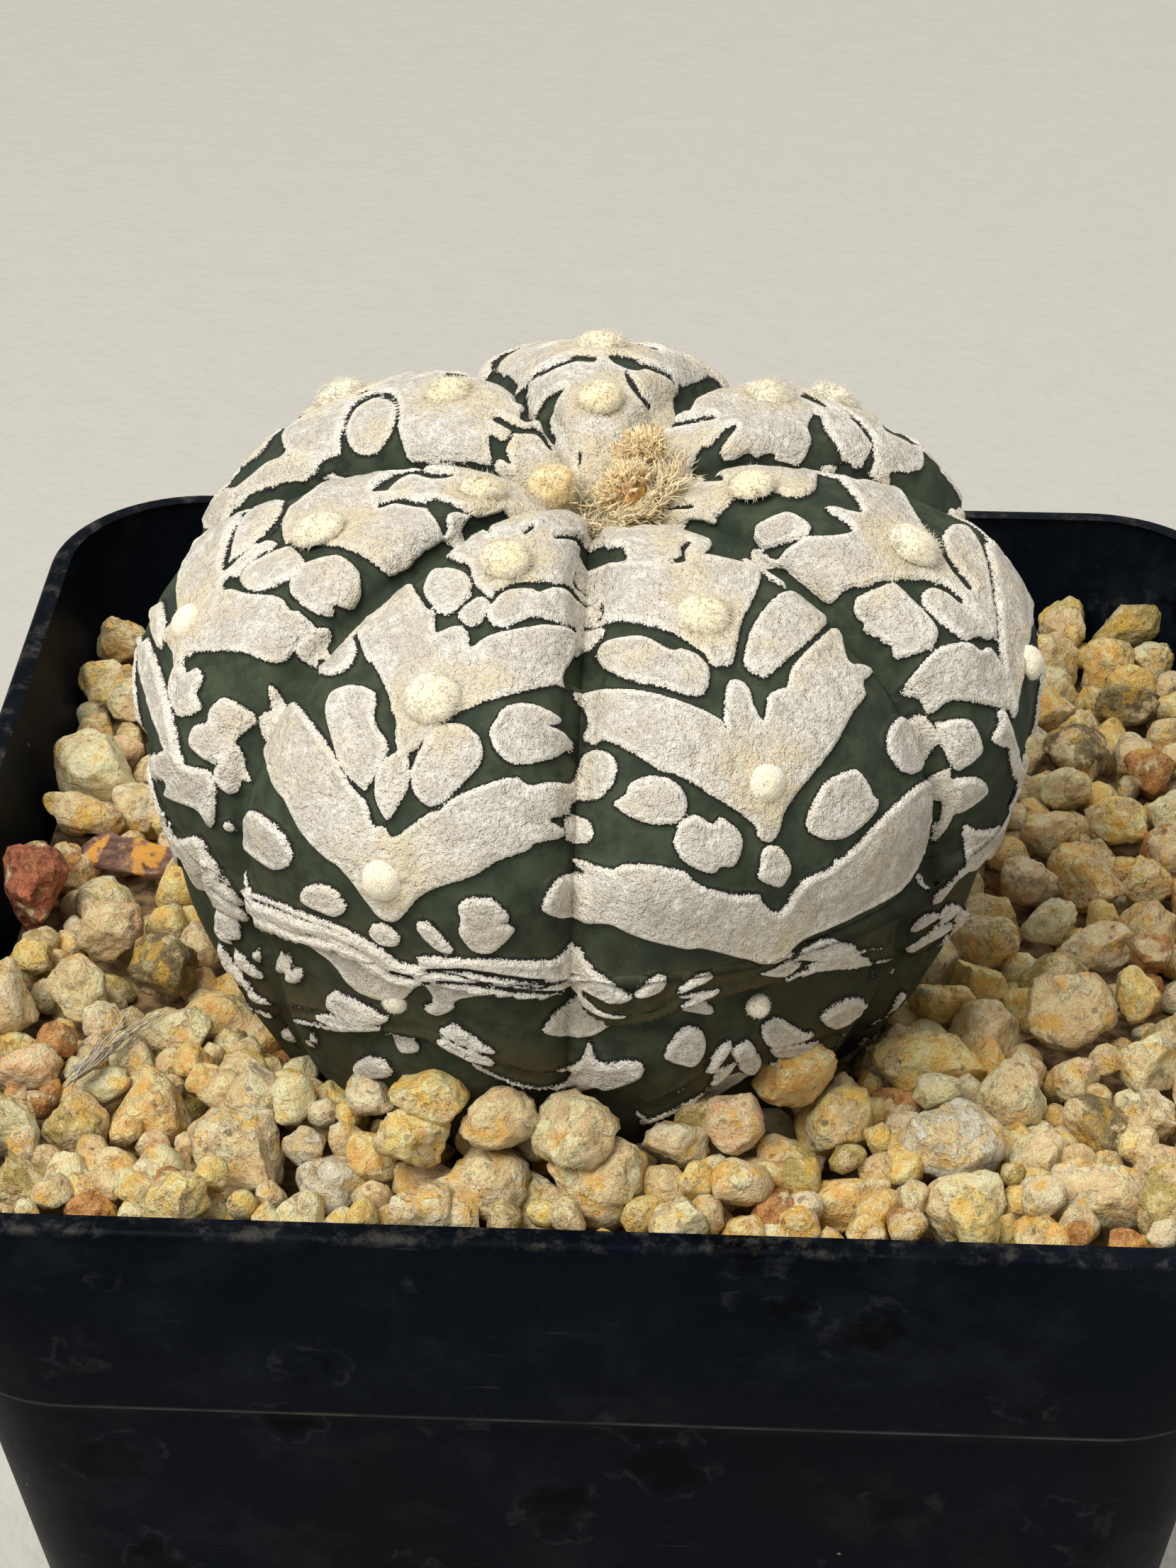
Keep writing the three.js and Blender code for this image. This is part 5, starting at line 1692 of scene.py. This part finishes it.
# Directions from a stone's middle to the spots that are tested for being covered, and the share of them
# that may be covered in a stone that is kept
HIDDEN_SAMPLES = np.array([(0, 0, 1)] + [
    (math.sin(tip) * math.cos(turn), math.sin(tip) * math.sin(turn), math.cos(tip))
    for tip in (0.6, 1.1) for turn in np.linspace(0, 2 * math.pi, 9)[:-1]
])
MOST_HIDDEN = 0.86


def without_hidden(fill, placed):
    """Leaves out the stones that the ones over them cover; the rest get the share of them that shows."""
    every = np.vstack([placed, [stone for stone in fill if not (placed == stone).all(axis=1).any()]])
    kept = []
    for x, y, z, radius in fill:
        spots = np.array([x, y, z]) + radius * HIDDEN_SAMPLES
        gap2 = ((spots[:, None, :2] - every[None, :, :2]) ** 2).sum(axis=2)
        size2 = (0.92 * every[None, :, 3]) ** 2
        tops = every[None, :, 2] + np.sqrt(np.maximum(size2 - gap2, 0))
        covered = ((gap2 < size2) & (tops > spots[:, None, 2] + 0.05)).any(axis=1)
        if covered.mean() < MOST_HIDDEN:
            kept.append((x, y, z, radius, 1 - covered.mean()))
    return kept


def build_gravel():
    """One piece for each kind of stone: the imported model's, the other ones seen and the loose fill."""
    rng = np.random.default_rng(12)
    groups = {kind: [] for kind in STONE_KINDS}
    replaced = {kind: [] for kind in STONE_KINDS}
    for name, (kind, x, y, depth, along, across, up, turn) in PACKED_STONES.items():
        points, faces = stone_points(rng, (along, across, up), turn, *SHOWN_STONE)
        groups[kind].append((points + [x, y, POT_HEIGHT + depth], faces, rng.uniform(-0.4, 0.4)))
        replaced[kind].append(name)
    for kind, across, down, wide, high, rise in SEEN_STONES:
        turn = rng.uniform(-25, 25)
        points, faces = stone_points(rng, (wide, high, high), turn, *SHOWN_STONE)
        place = clear_of_stem(on_bed(across, down, rise), (wide + high) / 4)
        groups[kind].append((points + place, faces, rng.uniform(-0.5, 0.5)))
    kinds = list(FILL_WEIGHTS)
    weights = np.array(list(FILL_WEIGHTS.values()))
    for x, y, z, radius, shown in pile_stones(rng):
        kind = kinds[rng.choice(len(kinds), p=weights / weights.sum())]
        size = 2 * radius * rng.uniform(0.85, 1.2, 3)
        level = next(level for least, level in FILL_LEVELS if radius * shown > least)
        points, faces = stone_points(rng, size, rng.uniform(0, 180), level, FILL_FACETS)
        groups[kind].append((points + [x, y, z], faces, rng.uniform(-0.6, 0.6)))
    for kind, parts in groups.items():
        points, faces, values = gather(parts)
        piece = make_piece(f"gravel_{kind}", points, faces, stone_material(kind), {"shade": values})
        hand_over(piece, STONE_SLOTS[kind], *replaced[kind])


def square_loop(width, corner, z):
    """A square with rounded corners at a height."""
    centre = width / 2 - corner
    loop = []
    for side in range(4):
        turn = side * math.pi / 2
        middle = centre * math.sqrt(2)
        cx = middle * math.cos(turn + math.pi / 4)
        cy = middle * math.sin(turn + math.pi / 4)
        for step in range(CORNER_POINTS):
            angle = turn + step / (CORNER_POINTS - 1) * math.pi / 2
            loop.append((cx + corner * math.cos(angle), cy + corner * math.sin(angle), z))
    return loop


def closed_loft(loops):
    """Faces over the loops in turn, closed at both ends; each loop is drawn anticlockwise."""
    count = len(loops[0])
    points = np.array([p for loop in loops for p in loop])
    quads = []
    for row in range(len(loops) - 1):
        for i in range(count):
            a = row * count + i
            b = row * count + (i + 1) % count
            quads.append((a, b, b + count, a + count))
    ends = [np.mean(loops[0], axis=0), np.mean(loops[-1], axis=0)]
    points = np.vstack([points, ends])
    first = len(points) - 2
    last_row = (len(loops) - 1) * count
    fans = []
    for i in range(count):
        j = (i + 1) % count
        fans.append((first, j, i))
        fans.append((first + 1, last_row + i, last_row + j))
    return points, np.array(quads), np.array(fans)


# How far the dark stuff, gravel in painted shade, lies under the bed's top
UNDER_BED = 1.7


def build_under_bed():
    """The small stuff between the stones, coloured as gravel in painted shade, closed down to the soil."""
    rows = []
    top = BED_HEIGHT - UNDER_BED
    rows.append(square_loop(2 * inner_half(SOIL_TOP) - 3.2, 6, SOIL_TOP + 0.4))
    for share in (1, 0.8, 0.6, 0.4, 0.2, 0.02):
        loop = np.array(square_loop((2 * inner_half(top) - 0.7) * share, 7.5 * share, top))
        loop[:, 2] += BED_SLOPE * loop[:, 1] + 0.5 * bumps(loop, 2.2, 31)
        rows.append(loop)
    points, quads, fans = closed_loft(rows)
    # Its colour is the gravel's in painted shade, for the gaps between the stones.
    material = plain_material("dark grit", (0.30, 0.20, 0.10), 0.95, 0.8, 0.7)
    piece = make_piece("gravel_grit_shade", points, quads, material, fans=fans)
    hand_over(piece, "gravel", "gravel_bed")


# The dry scrap at the left: its outline and thickness, where its middle lies and how it is turned
BARK_OUTLINE = [(-2.9, -0.9), (-1.2, -1.3), (1.4, -1), (2.9, -0.3), (2.3, 0.9), (0.4, 1.2), (-2.3, 0.8)]
BARK_THICKNESS = 1.1
BARK_MIDDLE = (-28.6, 2.6, POT_HEIGHT - 4.9)
BARK_TURNS = (0.5, 0.12, -0.22)
# The radius that stones leave free round its middle
BARK_ROOM = 2.2


def bark_material():
    paint = Paint("dry husk", 0.6, 0.3)
    streaks = paint.ramp(paint.noise(0.5, 4, 0.7, (3, 1, 1)), 0.35, 0.65)
    colour = paint.mix(streaks, (0.09, 0.04, 0.025), (0.26, 0.15, 0.11))
    colour = paint.mix(paint.ramp(paint.noise(1.6, 3), 0.52, 0.6), colour, (0.62, 0.30, 0.05))
    # Paler greyish spots: painted highlights on the husk.
    colour = paint.mix(paint.ramp(paint.noise(0.6, 3), 0.6, 0.7, 0, 0.7), colour, (0.40, 0.29, 0.23))
    paint.bump(paint.noise(0.3, 4, 0.7, (3, 1, 1)), 0.15, 1)
    return paint.finish(colour)


# The ends of each rootlet in the photograph's pixels
ROOTLETS = [
    ((98, 1522), (205, 1438)), ((104, 1525), (222, 1432)), ((108, 1516), (180, 1462)),
    ((100, 1512), (140, 1470)), ((128, 1500), (232, 1420)), ((112, 1508), (196, 1428)),
    ((96, 1530), (150, 1478)),
]
STRANDS_EACH = 4


def build_rootlets():
    """Pale dry rootlets lying over the stones on the left."""
    rng = np.random.default_rng(3)
    parts = []
    for start, end in ROOTLETS:
        first = on_bed(*start, 2.6)
        last = on_bed(*end, 3.0)
        for _ in range(STRANDS_EACH):
            from_place = first + rng.normal(size=3) * 0.12
            way = last + rng.normal(size=3) * 0.3 - from_place
            width = rng.uniform(0.04, 0.09)
            one = fibre_rows([from_place], [way], [np.linalg.norm(way)], [width], rng, 0.12, 8, 0.03)
            parts.append((*one, 0.0))
    points, faces, _ = gather(parts)
    material = plain_material("rootlet", (0.62, 0.55, 0.42), 0.9, 0.4, 0.4)
    hand_over(make_piece("rootlets", points, faces, material), "bark")


def build_bark():
    """A wrinkled scrap with rounded edges, lying on the stones."""
    outline = smooth_path(np.array(BARK_OUTLINE), True)
    rows = []
    for lift in np.linspace(-1, 1, 13):
        share = math.sqrt(1 - 0.9 * lift * lift)
        row = np.column_stack([outline * share, np.full(len(outline), lift * BARK_THICKNESS / 2)])
        wrinkled = 0.22 * np.column_stack([bumps(row, 0.8, seed) for seed in (1, 2, 3)])
        rows.append(row + wrinkled + 0.1 * np.column_stack([bumps(row, 0.35, seed) for seed in (4, 5, 6)]))
    points, quads, fans = closed_loft(rows)
    turn = Matrix.Rotation(BARK_TURNS[2], 3, "Z") @ Matrix.Rotation(BARK_TURNS[1], 3, "Y")
    turn = turn @ Matrix.Rotation(BARK_TURNS[0], 3, "X")
    points = points @ np.array(turn).T + BARK_MIDDLE
    piece = make_piece("bark_flake", points, quads, bark_material(), fans=fans)
    hand_over(piece, "bark", "bark_scrap")


# The pot

band_bottom_width = RIM_WIDTH - 2 * BAND_TAPER * BAND_DEPTH
body_top_width = band_bottom_width - 2 * LEDGE
band_bottom = POT_HEIGHT - BAND_DEPTH
# How the pot's edges are rounded: outside the lip, under the band and inside the lip
LIP_RADIUS = 0.5
STEP_RADIUS = 0.4
INNER_LIP = 0.35


def inner_width(z):
    """The room between two opposite walls at this height."""
    if z > band_bottom:
        return 2 * inner_half(z)
    share = z / band_bottom
    return FOOT_WIDTH + share * (body_top_width - FOOT_WIDTH) - 2 * WALL


def inner_corner(z):
    return FOOT_CORNER + z / POT_HEIGHT * (RIM_CORNER - FOOT_CORNER) - WALL


def rounded_edge(radius, steps, first, last):
    """How far an arc has left one side and how far it is from the other, between two angles in degrees."""
    for step in range(steps):
        angle = math.radians(first + (last - first) * step / (steps - 1))
        yield radius * (1 - math.cos(angle)), radius * (1 - math.sin(angle))


def pot_loops():
    """Loops from the recess under the foot, up the outside, over the lip and down the inside."""
    ring_outside = FOOT_WIDTH - 1
    ring_inside = ring_outside - 2 * FOOT_RING_WIDTH
    loops = [
        square_loop(ring_inside - 1, FOOT_CORNER / 2, FOOT_RECESS),
        square_loop(ring_inside, FOOT_CORNER / 2 + 0.5, 0),
        square_loop(ring_outside, FOOT_CORNER - 0.5, 0),
        square_loop(FOOT_WIDTH - 0.3, FOOT_CORNER - 0.15, 0.25),
        square_loop(FOOT_WIDTH, FOOT_CORNER, 0.8),
        square_loop(body_top_width - 0.4, BODY_CORNER, band_bottom - 1.2),
        square_loop(body_top_width, BODY_CORNER, band_bottom - 0.4),
        square_loop(body_top_width + 0.5, BODY_CORNER + 0.2, band_bottom - 0.1),
    ]
    for up, out in rounded_edge(STEP_RADIUS, 4, 0, 90):
        loops.append(square_loop(band_bottom_width - 2 * out, BODY_CORNER + 0.5 - out, band_bottom + up))
    for out, down in rounded_edge(LIP_RADIUS, 7, 0, 90):
        loops.append(square_loop(RIM_WIDTH - 2 * out, RIM_CORNER - out, POT_HEIGHT - down))
    inside = inner_width(POT_HEIGHT)
    for out, down in rounded_edge(INNER_LIP, 5, 90, 0):
        wider = INNER_LIP - out
        loops.append(square_loop(inside + 2 * wider, RIM_CORNER - WALL + wider, POT_HEIGHT - down))
    loops += [
        square_loop(inner_width(band_bottom + 0.1), inner_corner(band_bottom), band_bottom + 0.1),
        square_loop(inner_width(band_bottom - WALL), inner_corner(band_bottom), band_bottom - WALL),
        square_loop(inner_width(FLOOR_HEIGHT), inner_corner(FLOOR_HEIGHT), FLOOR_HEIGHT),
    ]
    return loops


def drain_cutters():
    """Round drain holes, and channels that cross under the foot ring."""
    cutters = []
    for x, y in ((0, 0), (1, 1), (1, -1), (-1, 1), (-1, -1)):
        place = (x * DRAIN_SPACING / 1000, y * DRAIN_SPACING / 1000, 0)
        radius = DRAIN_RADIUS / 1000
        bpy.ops.mesh.primitive_cylinder_add(vertices=40, radius=radius, depth=0.03, location=place)
        cutters.append(bpy.context.object)
    for x, y in ((0.2, DRAIN_NOTCH / 1000), (DRAIN_NOTCH / 1000, 0.2)):
        bpy.ops.mesh.primitive_cube_add(size=1)
        bpy.context.object.dimensions = (x, y, 2 * FOOT_RECESS / 1000)
        cutters.append(bpy.context.object)
    bpy.context.view_layer.update()
    return cutters


def build_pot(material):
    """The pot in one piece, with its drain holes and channels cut out."""
    points, quads, fans = closed_loft(pot_loops())
    pot = make_piece("pot_shell", points, quads, material, fans=fans)
    cutters = drain_cutters()
    for cutter in cutters:
        cut = pot.modifiers.new("drain", "BOOLEAN")
        cut.object = cutter
        cut.solver = "EXACT"
    shaped = bpy.data.meshes.new_from_object(pot.evaluated_get(bpy.context.evaluated_depsgraph_get()))
    pot.modifiers.clear()
    pot.data = shaped
    shaped.set_sharp_from_angle(angle=math.radians(32))
    for cutter in cutters:
        bpy.data.objects.remove(cutter)
    hand_over(pot, "pot_plastic", "pot_square")


# The studio


def build_floor_and_air():
    scene = bpy.context.scene
    scene.view_settings.view_transform = "Standard"
    bpy.ops.mesh.primitive_plane_add(size=6, location=(0, 0, 0))
    floor = bpy.context.object
    floor.name = "paper"
    floor.data.materials.append(plain_material("paper", (0.56, 0.545, 0.50), 0.9, 4, 0.02))
    world = bpy.data.worlds.new("soft room")
    world.use_nodes = True
    background = world.node_tree.nodes["Background"]
    background.inputs["Color"].default_value = (1, 0.98, 0.95, 1)
    background.inputs["Strength"].default_value = 0.45
    scene.world = world


# Each lamp's place and size in metres, power and colour
LAMPS = {
    "lamp above": ((-0.22, -0.26, 0.62), 0.4, 4.6, (1, 0.97, 0.92)),
    "window behind": ((0.25, 0.5, 0.55), 0.5, 1.4, (1, 0.98, 0.95)),
}


def build_lamps():
    for name, (place, size, power, colour) in LAMPS.items():
        light = bpy.data.lights.new(name, "AREA")
        light.energy = power
        light.size = size
        light.color = colour
        lamp = bpy.data.objects.new(name, light)
        lamp.location = place
        aim = Vector((0, 0, 0.06)) - Vector(place)
        lamp.rotation_euler = aim.to_track_quat("-Z", "Y").to_euler()
        bpy.context.scene.collection.objects.link(lamp)


def build_camera():
    camera = bpy.data.cameras.new("camera")
    camera.lens = LENS
    camera.sensor_width = SENSOR
    camera.clip_start = 0.01
    camera.clip_end = 20
    eye = bpy.data.objects.new("camera", camera)
    axes = Matrix((CAMERA_RIGHT, CAMERA_UP, -CAMERA_FORWARD)).transposed()
    eye.matrix_world = Matrix.Translation(CAMERA_PLACE / 1000) @ axes.to_4x4()
    bpy.context.scene.collection.objects.link(eye)
    bpy.context.scene.camera = eye


build_stem()
areole_wool = wool_material("areole wool", (0.90, 0.86, 0.74), (0.88, 0.76, 0.50))
crown_wool = wool_material("crown wool", (0.90, 0.82, 0.62), (0.86, 0.67, 0.36))
build_areoles(areole_wool)
build_crown(crown_wool, straw_material())
build_gravel()
build_under_bed()
build_bark()
build_rootlets()
build_pot(pot_material())
nodes["potting_soil"].data.materials.clear()
nodes["potting_soil"].data.materials.append(plain_material("soil", (0.045, 0.03, 0.02), 0.95, 1.5, 0.6))
build_floor_and_air()
build_lamps()
build_camera()
